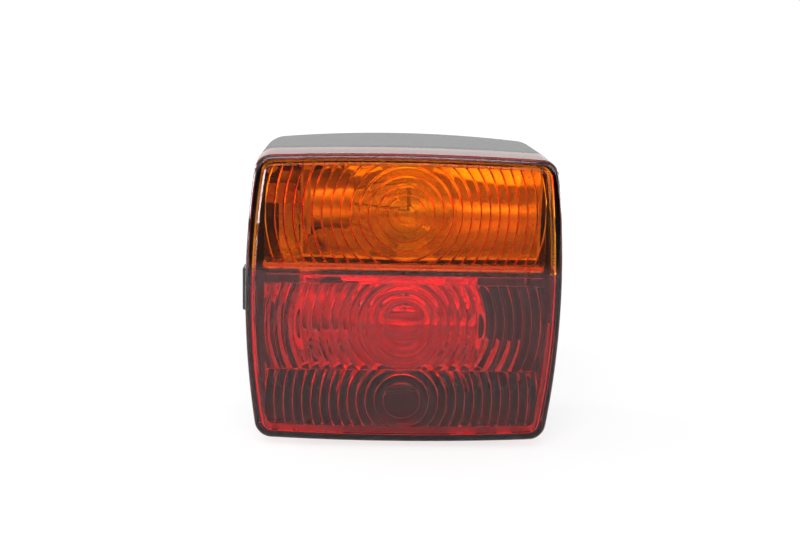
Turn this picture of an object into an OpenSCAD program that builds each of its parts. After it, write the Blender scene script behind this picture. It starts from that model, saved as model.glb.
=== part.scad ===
// Square rear lamp: a two-colour ringed lens on a black moulded housing, with its bulb carrier inside.
// X is to the viewer's right, +Z is up, and the lens faces -Y. The rear mounting face lies on y = 0.

/* [Overall] */
// Width over the bowed sides at the joint between lens and housing
lamp_w = 104; // [90:0.5:120]
// Height of the lens at the joint, over the bowed top and bottom
lens_h = 97; // [85:0.5:110]
// Depth from the rear mounting face to the front of the lens
lamp_d = 54; // [50:0.5:64]
// Depth of the housing, from the rear face to the joint
housing_d = 36; // [33:0.5:42]
// How far each side bows outward at the joint
side_bow = 3.9; // [1:0.1:6]
// How far the top and bottom of the lens bow outward
top_bow = 1.5; // [0.5:0.1:3]
// Corner radius of the outline at the joint
corner_r = 6.3; // [4:0.1:10]

/* [Housing] */
// How much taller the housing is at its rear face than the lens at the joint
rear_rise = 4; // [2:0.5:7]
// Outward bow of the housing's top and bottom at the rear
rear_bow = 3.1; // [1:0.1:5]
// Corner radius of the housing at the rear
rear_corner_r = 9; // [6:0.5:14]
// Wall thickness of the housing's sides
housing_wall = 3.2; // [2.4:0.1:4]
// Thickness of the housing's back
back_wall = 2.5; // [2:0.1:4]
// Height of the catch lug on each side
lug_h = 14.6; // [8:0.2:20]
// How far a catch lug stands out from the side
lug_out = 2; // [1.4:0.1:4]
// Depth of a catch lug, front to back
lug_d = 8; // [5:0.5:14]
// Height of the lug's middle above the lamp's middle
lug_z = -0.5; // [-10:0.5:10]
// Bore for the cable grommet in the back
inlet_d = 12; // [8:0.5:16]
// Cable hole's place to the right of the middle
inlet_x = 9; // [0:0.5:14]
// Cable hole's place above the middle
inlet_z = -25; // [-32:0.5:-18]

/* [Lens] */
// Wall thickness of the lens's sides
lens_wall = 1.8; // [1.4:0.1:2.4]
// Thickness of the lens front behind the rings
lens_front = 2.8; // [2:0.1:4]
// Inward lean of the lens's sides from the joint to the front
lens_draft = 0.5; // [0.2:0.1:1.5]
// Radius of the rounded rim round the front
rim_r = 3.2; // [1.5:0.1:4.5]
// Height of the amber part, from the lens's top edge to the colour seam
amber_h = 38.5; // [37:0.5:42]
// Radial pitch of the optical rings
ring_pitch = 3.0; // [2.4:0.1:4]
// Height of the steepest ring's step
ring_step = 1.5; // [0.6:0.05:1.8]
// Margin between the lens's sides and the ringed field
field_side = 6.5; // [5:0.1:9]
// Margin above the ringed field
field_above = 4.6; // [4:0.1:7]
// Margin below the ringed field
field_below = 5.6; // [4.5:0.1:8]
// Distance of the amber rings' centre below the lens's top edge
amber_drop = 20; // [19.6:0.1:20.6]
// Upper red rings' centre below the seam, as a share of the red part's height
stop_share = 0.308; // [0.28:0.004:0.33]
// Lower red rings' centre below the seam, as a share of the red part's height
tail_share = 0.752; // [0.73:0.004:0.78]
// Line where the two red fields meet, as a share of the red part's height
split_share = 0.571; // [0.52:0.001:0.62]
// Depth of the locating lip inside the lens's wall
lip_d = 3; // [1.5:0.1:5]
// Clearance between that lip and the lens
lip_clearance = 0.2; // [0.1:0.05:0.4]
// Thickness of the gasket in the joint, as pressed
gasket_t = 0.6; // [0.4:0.1:1]

/* [Carrier] */
// Distance of the bulbs' axes from the rear face
bulb_y = 23; // [22:0.5:24]
// Gap between the bulb carrier and the housing's sides at mid-height
carrier_gap_x = 5.8; // [4.5:0.1:7]
// Gap between the bulb carrier and the housing's top and bottom at the joint
carrier_gap_z = 4.8; // [3.5:0.1:6]
// Thickness of the bulb carrier's plate
carrier_t = 1.8; // [1.4:0.1:2.4]
// Distance of the carrier's front face from the rear face
carrier_y = 8.2; // [7.8:0.1:8.8]
// Thickness of the wall between the amber and red chambers
partition_t = 1.6; // [1.2:0.1:2.4]
// Gap between that wall and the housing's sides
partition_gap = 2.4; // [1.5:0.1:4]
// Gap between the lens's inner face and the front edges of that wall and of the reflectors
inner_gap = 7.2; // [6.6:0.1:12]
// Sheet thickness of the reflectors
reflector_t = 0.8; // [0.6:0.05:1]
// Distance of the indicator reflector's foot from the carrier's right-hand edge
reflector_inset = 7; // [7:0.5:12]
// Distance of both reflectors' feet from the sockets' rear ends
reflector_start = 6; // [5:0.5:9]
// Distance of the stop reflector's right-hand foot from the middle of its bulb's glass
stop_reach = 15; // [13:0.5:18]
// Lean of a reflector's left-hand end, from its foot to its front edge
lean_left = 11; // [8:0.5:12]
// Lean of a reflector's right-hand end, from its foot to its front edge
lean_right = 7.5; // [4:0.5:8]
// Sheet thickness of the strips, clips and socket flanges
strip_t = 0.8; // [0.6:0.05:1]
// Clearance round screws, rivets and pins in their holes
hole_clearance = 0.1; // [0.05:0.05:0.25]

/* [Bulbs] */
// Diameter of the large bulbs' glass
globe_d = 25; // [22:0.5:26]
// Least clearance of that glass in a reflector
globe_clearance = 0.2; // [0.1:0.05:0.5]
// Distance of the glass's middle from the rear end of its cap
globe_reach = 26.5; // [25:0.5:28]
// Diameter of the bayonet caps
cap_d = 15; // [14.5:0.1:15.2]
// Length of the bayonet caps
cap_l = 11.5; // [11:0.5:12.5]
// Distance of the caps' rear ends from the sockets' rear ends
cap_gap = 3.5; // [3:0.5:4]
// Length of the sockets
socket_l = 13.5; // [12.5:0.5:14.5]
// Bore clearance of the sockets over the caps
socket_clearance = 0.2; // [0.1:0.05:0.3]
// Diameter of the festoon bulb's glass
festoon_d = 10; // [9:0.5:11]
// Length of the festoon bulb over its cap tips
festoon_l = 39; // [38:0.5:41]

/* [Mounting] */
// Distance between the two mounting bolts
bolt_spacing = 45; // [40:1:48]
// Diameter of the mounting bolts
bolt_d = 5; // [4:0.5:6]
// How far the bolts stand out behind the rear face
bolt_out = 18; // [10:1:30]
// Size of the bolts' hex heads across flats
bolt_flats = 8; // [7:0.5:9]
// How much thicker the bolts are where they pass through the housing's back
bolt_neck = 0.8; // [0.4:0.1:1.4]

/* [Hidden] */
fine = 96;
skin_y = lamp_d - lens_front;
joint_y = housing_d;
ledge_y = housing_d - gasket_t;
rear_h = lens_h + rear_rise;
side_l = skin_y - joint_y;
seam_z = lens_h / 2 - amber_h;
red_h = lens_h - amber_h;
amber_z = lens_h / 2 - amber_drop;
stop_z = seam_z - stop_share * red_h;
tail_z = seam_z - tail_share * red_h;
split_z = seam_z - split_share * red_h;
field_w = lamp_w - 2 * field_side;
field_top = lens_h / 2 - field_above;
field_bottom = field_below - lens_h / 2;
ring_count = ceil(norm([field_w / 2, amber_drop]) / ring_pitch);
rib_x = lamp_w / 2 - 11.8;
rib_t = 1.2;
carrier_w = lamp_w - 2 * (housing_wall + carrier_gap_x);
carrier_h = lens_h - 2 * (housing_wall + carrier_gap_z);
carrier_rear = carrier_y - carrier_t;
partition_x = lamp_w / 2 - housing_wall - partition_gap;
inner_y = skin_y - inner_gap;
globe_r = globe_d / 2;
cap_r = cap_d / 2;
socket_in = cap_r + socket_clearance;
socket_out = socket_in + 0.6;
pad_w = 5.4;
pad_x0 = 0.4 - carrier_w / 2;
pad_x1 = pad_x0 + pad_w;
pad_y = carrier_y + 4;
pad_h = 8;
terminal_x = pad_x0 + pad_w / 2;
earth_w = 7.2;
earth_x0 = pad_x1 + 1.2;
earth_x1 = earth_x0 + earth_w;
rivet_x = earth_x0 + 3.4;
socket_back = earth_x1 + strip_t;
socket_front = socket_back + socket_l;
cap_back = socket_back + cap_gap;
cap_front = cap_back + cap_l;
dome_l = 1.5;
globe_x = cap_back + globe_reach;
pin_reach = 4.5;
pin_x = cap_back + pin_reach;
leaf_t = 0.6;
leaf_x = socket_back - 3;
reflector_left = socket_back + reflector_start;
reflector_right = carrier_w / 2 - reflector_inset;
stop_right = globe_x + stop_reach;
axis_gap = bulb_y - carrier_y;
trough_flat = 0.3;
trough_gap = 1;
flange_half = 9.4;
trough_r = axis_gap + trough_flat;
least_trough_r = globe_r + globe_clearance + reflector_t;
amber_trough_r = max(least_trough_r, min(trough_r, amber_z - seam_z - partition_t / 2 - trough_gap));
stop_trough_r = max(least_trough_r, min(trough_r, seam_z - partition_t / 2 - trough_gap - stop_z));
notch_half = flange_half + 0.8;
notch_y = bulb_y + flange_half + 1;
strip_front = carrier_y + strip_t;
foot_front = strip_front + strip_t;
rivet_r = 1.2;
rivet_head_r = 2.1;
rivet_head_h = 0.7;
strip_half = 3;
hook_h = 8;
clip_x = festoon_l / 2 - 1.3;
clip_foot = 9;
clip_rivet_x = clip_x + 5;
supply_x = clip_rivet_x + 2.8;
supply_z = tail_z + 9;
supply_half = 3.2;
boss_r = 4;
boss_x = carrier_w / 2 - 3.5;
boss_z = carrier_h / 2 - 3.5;
bolt_boss_r = bolt_flats / 2 + 2.5;
bolt_boss_y = back_wall + 3.5;
bolt_head_h = 3.3;
bolt_neck_r = (bolt_d + bolt_neck) / 2;
neck_r = cap_r - 0.5;
festoon_neck_r = 3.95;
screw_r = 1.5;
terminal_head_r = 2.6;
terminal_shank = 5;
cable_r = 2.8;
grommet_r = inlet_d / 2;
grommet_flange = 2.6;
field_bow_x = 1;
field_bow_z = 0.8;
field_r = 2.6;

// Outline of a bowed rectangle: four large arcs joined by tangent corner arcs.
function bow_r(half, bow) = (half * half + bow * bow) / (2 * bow);

// Centre of the corner arc, where it touches the side arc and the top arc.
function corner_c(w, h, bx, bz, r) =
  let (rx = bow_r(h / 2, bx), rz = bow_r(w / 2, bz),
       c1 = [w / 2 - rx, 0], c2 = [0, h / 2 - rz],
       a = rx - r, b = rz - r,
       d = norm(c2 - c1), u = (c2 - c1) / d,
       x = (d * d + a * a - b * b) / (2 * d), k = sqrt(a * a - x * x))
  c1 + u * x + [-u[1], u[0]] * k;

// One quarter of the outline, from the right-hand middle round to the top middle.
function quarter(w, h, bx, bz, r, ns, nc) =
  let (rx = bow_r(h / 2, bx), rz = bow_r(w / 2, bz),
       c1 = [w / 2 - rx, 0], c2 = [0, h / 2 - rz],
       c = corner_c(w, h, bx, bz, r),
       t1 = atan2(c[1] - c1[1], c[0] - c1[0]),
       t2 = atan2(c[1] - c2[1], c[0] - c2[0]))
  concat(
    [for (i = [0:ns - 1]) c1 + rx * [cos(t1 * i / ns), sin(t1 * i / ns)]],
    [for (i = [0:nc - 1]) let (t = t1 + (t2 - t1) * i / nc) c + r * [cos(t), sin(t)]],
    [for (i = [0:ns - 1]) let (t = t2 + (90 - t2) * i / ns) c2 + rz * [cos(t), sin(t)]]);

// The whole outline, made from one quarter and its mirror images.
function outline(w, h, bx, bz, r, ns = 5, nc = 6) =
  let (q = quarter(w, h, bx, bz, r, ns, nc), n = len(q))
  concat(
    q,
    [[0, h / 2]],
    [for (i = [n - 1:-1:1]) [-q[i][0], q[i][1]]],
    [[-w / 2, 0]],
    [for (i = [1:n - 1]) [-q[i][0], -q[i][1]]],
    [[0, -h / 2]],
    [for (i = [n - 1:-1:1]) [q[i][0], -q[i][1]]]);

// Joint outline drawn in by a distance on every side.
function joint_outline(inset) =
  outline(lamp_w - 2 * inset, lens_h - 2 * inset, side_bow, top_bow, max(corner_r - inset, 0.8));

// Rear outline of the housing drawn in by a distance.
function rear_outline(inset) =
  outline(lamp_w - 2 * inset, rear_h - 2 * inset, side_bow * 0.8, rear_bow, max(rear_corner_r - inset, 0.8));

// Depth at a share of the way from the joint to the lens's inner face.
function side_at(share) = joint_y + share * side_l;

// Outline at depth y on the straight line between the rear and the joint.
function between(inset, y) =
  let (a = rear_outline(inset), b = joint_outline(inset), k = y / joint_y)
  [for (i = [0:len(a) - 1]) a[i] * (1 - k) + b[i] * k];

// Solid through a stack of outlines, each one an outline and its depth from the rear face.
module loft(levels) {
  n = len(levels[0][0]);
  m = len(levels);
  points = [for (l = levels) for (p = l[0]) [p[0], -l[1], p[1]]];
  sides = [for (j = [0:m - 2]) for (i = [0:n - 1])
    let (k = (i + 1) % n)
    each [[j * n + i, (j + 1) * n + k, j * n + k], [j * n + i, (j + 1) * n + i, (j + 1) * n + k]]];
  rear = [[for (i = [0:n - 1]) i]];
  front = [[for (i = [n - 1:-1:0]) (m - 1) * n + i]];
  polyhedron(points = points, faces = concat(sides, rear, front), convexity = 4);
}

// Cylinder along Y, from depth y0 to depth y1.
module rod_y(x, z, r, y0, y1) {
  translate([x, -y0, z])
    rotate([90, 0, 0])
      cylinder(r = r, h = y1 - y0, $fn = fine);
}

// Cylinder along X at a bulb axis, from x0 to x1.
module rod_x(z, r, x0, x1, y = bulb_y) {
  translate([x0, -y, z])
    rotate([0, 90, 0])
      cylinder(r = r, h = x1 - x0, $fn = fine);
}

// Box between two corners, with depths counted from the rear face.
module slab(x0, x1, y0, y1, z0, z1) {
  translate([x0, -y1, z0])
    cube([x1 - x0, y1 - y0, z1 - z0]);
}

// Revolved shape about a bulb axis: the profile's first number is a radius and its second is x.
module turned_x(z, profile, y = bulb_y) {
  translate([0, -y, z])
    rotate([0, 90, 0])
      rotate_extrude($fn = fine)
        polygon(profile);
}

// Revolved shape about a line along Y: the profile's second number is a depth.
module turned_y(x, z, profile) {
  translate([x, 0, z])
    rotate([90, 0, 0])
      rotate_extrude($fn = fine)
        polygon(profile);
}

// Flat shape in the X-Z plane, thickened from depth y0 to depth y1.
module plate_y(y0, y1) {
  translate([0, -y0, 0])
    rotate([90, 0, 0])
      linear_extrude(y1 - y0)
        children();
}

// Flat shape in the Y-Z plane, thickened from x0 to x1.
module plate_x(x0, x1) {
  translate([x0, 0, 0])
    rotate([90, 0, 90])
      linear_extrude(x1 - x0)
        children();
}

// Pair of copies, one on each side.
module both_sides() {
  children();
  mirror([1, 0, 0])
    children();
}

// Hex prism along Y with its size across flats.
module hex_y(x, z, flats, y0, y1) {
  translate([x, -y0, z])
    rotate([90, 0, 0])
      cylinder(r = flats / sqrt(3), h = y1 - y0, $fn = 6);
}

// Screw along Y: a slotted round head on the face at depth y, with its shank behind it.
module slotted_screw(x, z, y, head_r, head_h, shank_l) {
  difference() {
    union() {
      rod_y(x, z, head_r, y, y + head_h);
      rod_y(x, z, screw_r, y - shank_l, y + 0.2);
    }
    slab(x - head_r - 1, x + head_r + 1, y + head_h - 0.8, y + head_h + 1, z - 0.4, z + 0.4);
  }
}

// Catch lug outside one side of the housing, seen from above as a wedge.
module catch_lug() {
  translate([0, 0, lug_z - lug_h / 2])
    linear_extrude(lug_h)
      polygon([[lamp_w / 2 - 2.6, -(ledge_y - lug_d)],
               [lamp_w / 2 + lug_out - 0.5, -(ledge_y - lug_d)],
               [lamp_w / 2 + lug_out, -(ledge_y - lug_d + 0.6)],
               [lamp_w / 2 + lug_out, -(ledge_y - 0.4)],
               [lamp_w / 2 + lug_out - 0.4, -ledge_y],
               [lamp_w / 2 - 2.6, -ledge_y]]);
}

// Catch tongue inside the lens's side, with its hook facing outward.
module catch_tongue() {
  root_x = lamp_w / 2 - lens_wall - 0.6;
  front = side_at(0.72);
  translate([0, 0, lug_z - lug_h / 2])
    linear_extrude(lug_h)
      polygon([[root_x - 1.6, -(joint_y - 2)], [root_x - 1.6, -front],
               [root_x, -front], [root_x, -(joint_y - 2)]]);
  translate([0, 0, lug_z - hook_h / 2])
    linear_extrude(hook_h)
      polygon([[root_x - 0.4, -side_at(0.68)], [root_x, -side_at(0.68)],
               [root_x + 0.8, -side_at(0.54)], [root_x + 0.8, -side_at(0.475)],
               [root_x - 0.4, -side_at(0.475)]]);
}

// Black moulded shell that everything else is fixed to.
module housing() {
  color([0.03, 0.03, 0.032])
    difference() {
      union() {
        difference() {
          union() {
            loft([[rear_outline(0), 0], [between(0, ledge_y), ledge_y]]);
            loft([[joint_outline(lens_wall + lip_clearance), ledge_y - 1],
                  [joint_outline(lens_wall + lip_clearance + 0.1), joint_y + lip_d]]);
          }
          loft([[between(housing_wall, back_wall), back_wall],
                [between(housing_wall, joint_y + 2 * lip_d), joint_y + 2 * lip_d]]);
        }
        for (x = [-boss_x, boss_x], z = [-boss_z, boss_z])
          rod_y(x, z, boss_r, back_wall - 0.5, carrier_rear);
        for (x = [-bolt_spacing / 2, bolt_spacing / 2])
          rod_y(x, 0, bolt_boss_r, back_wall - 0.5, bolt_boss_y);
        both_sides() {
          catch_lug();
          catch_tongue();
        }
      }
      for (x = [-boss_x, boss_x], z = [-boss_z, boss_z])
        rod_y(x, z, screw_r + hole_clearance, back_wall + 0.5, carrier_y);
      for (x = [-bolt_spacing / 2, bolt_spacing / 2]) {
        rod_y(x, 0, bolt_neck_r + hole_clearance, -1, back_wall + 1);
        hex_y(x, 0, bolt_flats + 2 * hole_clearance, back_wall, bolt_boss_y + 1);
      }
      rod_y(inlet_x, inlet_z, grommet_r, -1, back_wall + 1);
      rod_y(inlet_x, inlet_z, grommet_r + grommet_flange + 0.4, -1, 1);
    }
}

// Soft flat ring pressed between the housing's ledge and the lens's edge.
module lens_gasket() {
  color([0.05, 0.05, 0.05])
    plate_y(ledge_y, joint_y)
      difference() {
        polygon(joint_outline(0.4));
        polygon(joint_outline(lens_wall + 0.1));
      }
}

// Clear moulded shell of the lens, before it is parted at the colour seam.
module lens_shell() {
  difference() {
    loft(concat(
      [[joint_outline(0), joint_y]],
      [for (a = [0:18:90])
        [joint_outline(lens_draft + rim_r * (1 - cos(a))), lamp_d - rim_r + rim_r * sin(a)]]));
    loft([[joint_outline(lens_wall), joint_y - 1],
          [joint_outline(lens_wall + lens_draft), skin_y - 1],
          [joint_outline(lens_wall + lens_draft + 0.8), skin_y]]);
  }
}

// Step height of one ring: it grows from the centre outward until it reaches the steepest step.
function ring_h(i) = ring_step * min(1, (i + 1) / 5);

// Saw-tooth rings standing on the inner face of the lens front, about one optical centre.
module rings(z, first, count) {
  profile = concat(
    [[0, -0.5], [count * ring_pitch, -0.5], [count * ring_pitch, 0.15]],
    [for (i = [count - 1:-1:first]) each [[i * ring_pitch, ring_h(i)],
      if (i > first) [i * ring_pitch, 0.15]]],
    [[first * ring_pitch, first > 0 ? 0.15 : ring_h(0)], [0, first > 0 ? 0.15 : ring_h(0)]]);
  translate([0, -skin_y, z])
    rotate([-90, 0, 0])
      rotate_extrude($fn = fine)
        polygon(first > 0 ? profile : [for (i = [0:len(profile) - 3]) profile[i]]);
}

// Part of the ringed field between two heights.
module field(z0, z1) {
  mid = (field_top + field_bottom) / 2;
  plate_y(skin_y - 4, skin_y + 1)
    intersection() {
      translate([0, mid])
        polygon(outline(field_w, field_top - field_bottom, field_bow_x, field_bow_z, field_r, 2, 3));
      translate([-lamp_w / 2, z0])
        square([lamp_w, z1 - z0]);
    }
}

// Amber upper part of the lens, over the direction indicator.
module lens_amber() {
  color([1, 0.42, 0.02, 0.6])
    union() {
      intersection() {
        lens_shell();
        slab(-lamp_w, lamp_w, joint_y - 2, lamp_d + 2, seam_z, lens_h);
      }
      intersection() {
        rings(amber_z, 0, ring_count);
        field(seam_z + 2.5, field_top + 2);
      }
      both_sides()
        slab(rib_x - rib_t / 2, rib_x + rib_t / 2, skin_y - 2.6, skin_y + 0.5, seam_z, seam_z + 2.9);
    }
}

// Red lower part of the lens, over the stop and tail lights.
module lens_red() {
  color([0.75, 0.01, 0.03, 0.6])
    difference() {
      union() {
        intersection() {
          lens_shell();
          slab(-lamp_w, lamp_w, joint_y - 2, lamp_d + 2, -lens_h, seam_z);
        }
        intersection() {
          rings(stop_z, 2, ring_count);
          field(split_z, seam_z - 4.5);
        }
        intersection() {
          rings(tail_z, 2, ring_count);
          field(field_bottom - 2, split_z);
        }
        slab(0.5 - field_w / 2, field_w / 2 - 0.5, skin_y - 5.6, skin_y + 0.5, seam_z - 1.7, seam_z - 0.2);
        both_sides()
          slab(rib_x - rib_t / 2, rib_x + rib_t / 2, skin_y - 2.6, skin_y + 0.5, seam_z - 4.9, seam_z - 1);
      }
      both_sides()
        slab(lamp_w / 2 - lens_wall - 2, lamp_w / 2 - 1.2, side_at(0.45), side_at(0.71),
             lug_z - hook_h / 2 - 0.6, lug_z + hook_h / 2 + 0.6);
    }
}

// Rectangle with round corners, centred.
module round_rect(w, h, r) {
  square([w - 2 * r, h], center = true);
  square([w, h - 2 * r], center = true);
  for (x = [-1, 1], y = [-1, 1])
    translate([x * (w / 2 - r), y * (h / 2 - r)])
      circle(r, $fn = fine);
}

// Places of the rivets that hold the strips, the socket feet and the festoon clips.
function strip_rivet_places() = concat(
  [for (z = [amber_z, stop_z], s = [-3.6, 3.6]) [rivet_x, z + s]],
  [[-clip_rivet_x, tail_z], [clip_rivet_x, tail_z]]);

// Places of the reflectors' rivets.
function reflector_rivet_places() =
  [[reflector_left + 3.4, amber_z], [reflector_right - 5, amber_z],
   [reflector_left + 8, stop_z], [stop_right - 5, stop_z]];

// Rivet through a stack, from the carrier's rear face to the depth of the stack's front.
module rivet(x, z, front) {
  rod_y(x, z, rivet_head_r, carrier_rear - rivet_head_h, carrier_rear);
  rod_y(x, z, rivet_r, carrier_rear - rivet_head_h / 2, front + rivet_head_h / 2);
  rod_y(x, z, rivet_head_r, front, front + rivet_head_h);
}

// Black moulded plate that carries the bulbs, with the wall between the two chambers.
module bulb_carrier() {
  color([0.035, 0.035, 0.037])
    difference() {
      union() {
        plate_y(carrier_rear, carrier_y)
          round_rect(carrier_w, carrier_h, 6);
        slab(-partition_x, partition_x, carrier_rear + 0.4, inner_y,
             seam_z - partition_t / 2, seam_z + partition_t / 2);
        for (z = [amber_z, stop_z])
          slab(pad_x0, pad_x1, carrier_rear + 0.4, pad_y, z - pad_h / 2, z + pad_h / 2);
        rod_y(supply_x, supply_z, supply_half, carrier_rear - 2.8, carrier_rear + 0.4);
      }
      for (x = [-boss_x, boss_x], z = [-boss_z, boss_z])
        rod_y(x, z, screw_r + hole_clearance + 0.1, carrier_rear - 1, carrier_y + 1);
      for (p = concat(strip_rivet_places(), reflector_rivet_places()))
        rod_y(p[0], p[1], rivet_r + hole_clearance, carrier_rear - 1, carrier_y + 1);
      for (z = [amber_z, stop_z])
        rod_y(terminal_x, z, screw_r + hole_clearance, carrier_rear - 1, pad_y + 1);
      rod_y(supply_x, supply_z, screw_r + hole_clearance, carrier_rear - 4, carrier_y + 1);
      rod_y(inlet_x, inlet_z, cable_r + 1.7, carrier_rear - 1, carrier_y + 1);
      slab(earth_x0 - 0.3, earth_x1 + 0.3, carrier_y, carrier_y + 1.1, seam_z - 3, seam_z + 3);
    }
}

// Four screws that hold the carrier on the housing's bosses.
module carrier_screws() {
  color([0.7, 0.7, 0.68])
    for (x = [-boss_x, boss_x], z = [-boss_z, boss_z])
      slotted_screw(x, z, carrier_y, 3, 2, 4.6);
}

// Section of a reflector trough: a round back with straight walls, drawn in by a sheet.
module trough_section(z, r, inset, front) {
  centre_y = carrier_y + r - trough_flat;
  intersection() {
    translate([-centre_y, z])
      circle(r - inset, $fn = fine);
    translate([-centre_y - 1, z - 2 * r])
      square([r - trough_flat - inset + 1, 4 * r]);
  }
  translate([-front, z - r + inset])
    square([front - centre_y, 2 * (r - inset)]);
}

// Place of a leaning end at depth y, when its foot is at x and it leans outward by a distance.
function lean_x(x, lean, y) = x + lean * (y - carrier_y) / (inner_y - carrier_y);

// Block between the leaning ends of a reflector, drawn in by a sheet.
module between_ends(right, inset) {
  y0 = carrier_y - 1;
  y1 = inner_y + 3;
  translate([0, 0, -lens_h])
    linear_extrude(2 * lens_h)
      polygon([[lean_x(reflector_left, -lean_left, y0) + inset, -y0],
               [lean_x(right, lean_right, y0) - inset, -y0],
               [lean_x(right, lean_right, y1) - inset, -y1],
               [lean_x(reflector_left, -lean_left, y1) + inset, -y1]]);
}

// Bright pressed trough behind one bulb, with leaning ends and a notch for the socket.
module reflector(z, r, right) {
  difference() {
    intersection() {
      plate_x(-lamp_w / 2, lamp_w / 2)
        trough_section(z, r, 0, inner_y);
      between_ends(right, 0);
    }
    intersection() {
      plate_x(-lamp_w / 2, lamp_w / 2)
        trough_section(z, r, reflector_t, inner_y + 2);
      between_ends(right, reflector_t);
    }
    slab(-lamp_w / 2, reflector_left + reflector_t + 0.2, carrier_y - 1, notch_y,
         z - notch_half, z + notch_half);
    for (p = reflector_rivet_places())
      rod_y(p[0], p[1], rivet_r + hole_clearance, carrier_y - 1, carrier_y + 2);
  }
}

module indicator_reflector() {
  color([0.9, 0.9, 0.9])
    reflector(amber_z, amber_trough_r, reflector_right);
}

module stop_reflector() {
  color([0.9, 0.9, 0.9])
    reflector(stop_z, stop_trough_r, stop_right);
}

// Rivets that hold the reflectors on the carrier.
module reflector_rivets() {
  color([0.75, 0.75, 0.74])
    for (p = reflector_rivet_places())
      rivet(p[0], p[1], carrier_y + reflector_t);
}

// Plated strip that joins both sockets and the left festoon clip to earth.
module earth_strip() {
  color([0.72, 0.7, 0.6])
    difference() {
      union() {
        slab(earth_x0, earth_x1, carrier_y, strip_front, tail_z - strip_half, amber_z + 6);
        slab(earth_x0, -clip_x - 1.4, carrier_y, strip_front, tail_z - strip_half, tail_z + strip_half);
      }
      for (p = strip_rivet_places())
        rod_y(p[0], p[1], rivet_r + hole_clearance, carrier_y - 1, strip_front + 1);
    }
}

// Plated strip from the right festoon clip to its terminal.
module supply_strip() {
  color([0.72, 0.7, 0.6])
    difference() {
      union() {
        slab(clip_x + 1.4, supply_x + supply_half, carrier_y, strip_front,
             tail_z - strip_half, tail_z + strip_half);
        slab(supply_x - supply_half, supply_x + supply_half, carrier_y, strip_front,
             tail_z, supply_z + supply_half);
      }
      rod_y(clip_rivet_x, tail_z, rivet_r + hole_clearance, carrier_y - 1, strip_front + 1);
      rod_y(supply_x, supply_z, screw_r + hole_clearance, carrier_y - 1, strip_front + 1);
    }
}

// Rivets through the socket feet, the festoon clips, the strips and the carrier.
module strip_rivets() {
  color([0.75, 0.75, 0.74])
    for (p = strip_rivet_places())
      rivet(p[0], p[1], foot_front);
}

// Bayonet socket with its flange and riveted foot, about one bulb axis.
module bayonet_socket(z) {
  difference() {
    union() {
      rod_x(z, socket_out, socket_back, socket_front);
      slab(socket_back - strip_t, socket_back, strip_front, bulb_y + flange_half,
           z - flange_half, z + flange_half);
      slab(earth_x0, socket_back, strip_front, foot_front, z - 6, z + 6);
    }
    rod_x(z, socket_in, socket_back, socket_front + 1);
    rod_x(z, 5, socket_back - 2, socket_back + 1);
    slab(pin_x - 1.3, socket_front + 1, bulb_y - 1.2, bulb_y + 1.2, z - 10, z + 10);
    for (s = [-3.6, 3.6])
      rod_y(rivet_x, z + s, rivet_r + hole_clearance, strip_front - 1, foot_front + 1);
  }
}

// Insulating bush in the end of a socket.
module contact_bush(z) {
  difference() {
    union() {
      rod_x(z, socket_in - 0.1, socket_back, socket_back + 1.4);
      rod_x(z, 4.9, socket_back - 2, socket_back + 0.5);
    }
    rod_x(z, 2.1, socket_back - 3, socket_back + 3);
  }
}

// Contact pin that slides in the bush and touches the bulb.
module contact_pin(z) {
  rod_x(z, 2, leaf_x, cap_back - dome_l);
}

// Springy leaf from the contact pin to its terminal pad.
module contact_leaf(z) {
  difference() {
    union() {
      slab(leaf_x - leaf_t, leaf_x, pad_y, bulb_y + 4, z - 3, z + 3);
      slab(pad_x0 + 0.4, leaf_x, pad_y, pad_y + leaf_t, z - 3, z + 3);
    }
    rod_y(terminal_x, z, screw_r + hole_clearance, pad_y - 1, pad_y + 2);
  }
}

// Round glass of a large bulb, open at its neck.
module bulb_glass(z) {
  difference() {
    union() {
      translate([globe_x, -bulb_y, z])
        sphere(r = globe_r, $fn = fine);
      rod_x(z, neck_r, pin_x, globe_x - 8);
    }
    translate([globe_x, -bulb_y, z])
      sphere(r = globe_r - 0.7, $fn = fine);
    rod_x(z, neck_r - 0.7, pin_x - 1, globe_x - 8);
  }
}

// Bayonet cap of a large bulb with its two pins.
module bulb_cap(z) {
  turned_x(z, [[cap_r - 0.5, cap_front], [cap_r, cap_front], [cap_r, cap_back + 0.4],
               [cap_r - 0.4, cap_back], [5.6, cap_back], [5.6, cap_back + 0.6],
               [cap_r - 0.5, cap_back + 0.6]]);
  for (s = [0, 180])
    translate([pin_x, -bulb_y, z])
      rotate([s, 0, 0])
        translate([0, 0, cap_r - 0.3])
          cylinder(r = 1, h = 1.7, $fn = fine);
}

// Dark insulating disc in the end of a bulb's cap.
module bulb_insulator(z) {
  turned_x(z, [[1.5, cap_back], [5.5, cap_back], [5.5, cap_back + 0.6], [cap_r - 0.6, cap_back + 0.6],
               [cap_r - 0.6, cap_back + 1.6], [1.5, cap_back + 1.6]]);
}

// Soldered end contact of a bulb.
module bulb_contact(z) {
  turned_x(z, [[0, cap_back - dome_l], [1.4, cap_back - dome_l], [2.2, cap_back - 0.9], [2.5, cap_back],
               [1.5, cap_back], [1.5, cap_back + 2], [0, cap_back + 2]]);
}

// Filament coil on its two support wires.
module bulb_filament(z) {
  translate([globe_x, -bulb_y, z - 2.6])
    cylinder(r = 0.6, h = 5.2, $fn = fine);
  for (s = [-2.6, 2.6])
    rod_x(z + s, 0.35, cap_back + 1.6, globe_x + 0.4);
}

module indicator_socket() {
  color([0.78, 0.78, 0.76])
    bayonet_socket(amber_z);
}

module stop_socket() {
  color([0.78, 0.78, 0.76])
    bayonet_socket(stop_z);
}

module indicator_contact_bush() {
  color([0.2, 0.08, 0.04])
    contact_bush(amber_z);
}

module stop_contact_bush() {
  color([0.2, 0.08, 0.04])
    contact_bush(stop_z);
}

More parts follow.
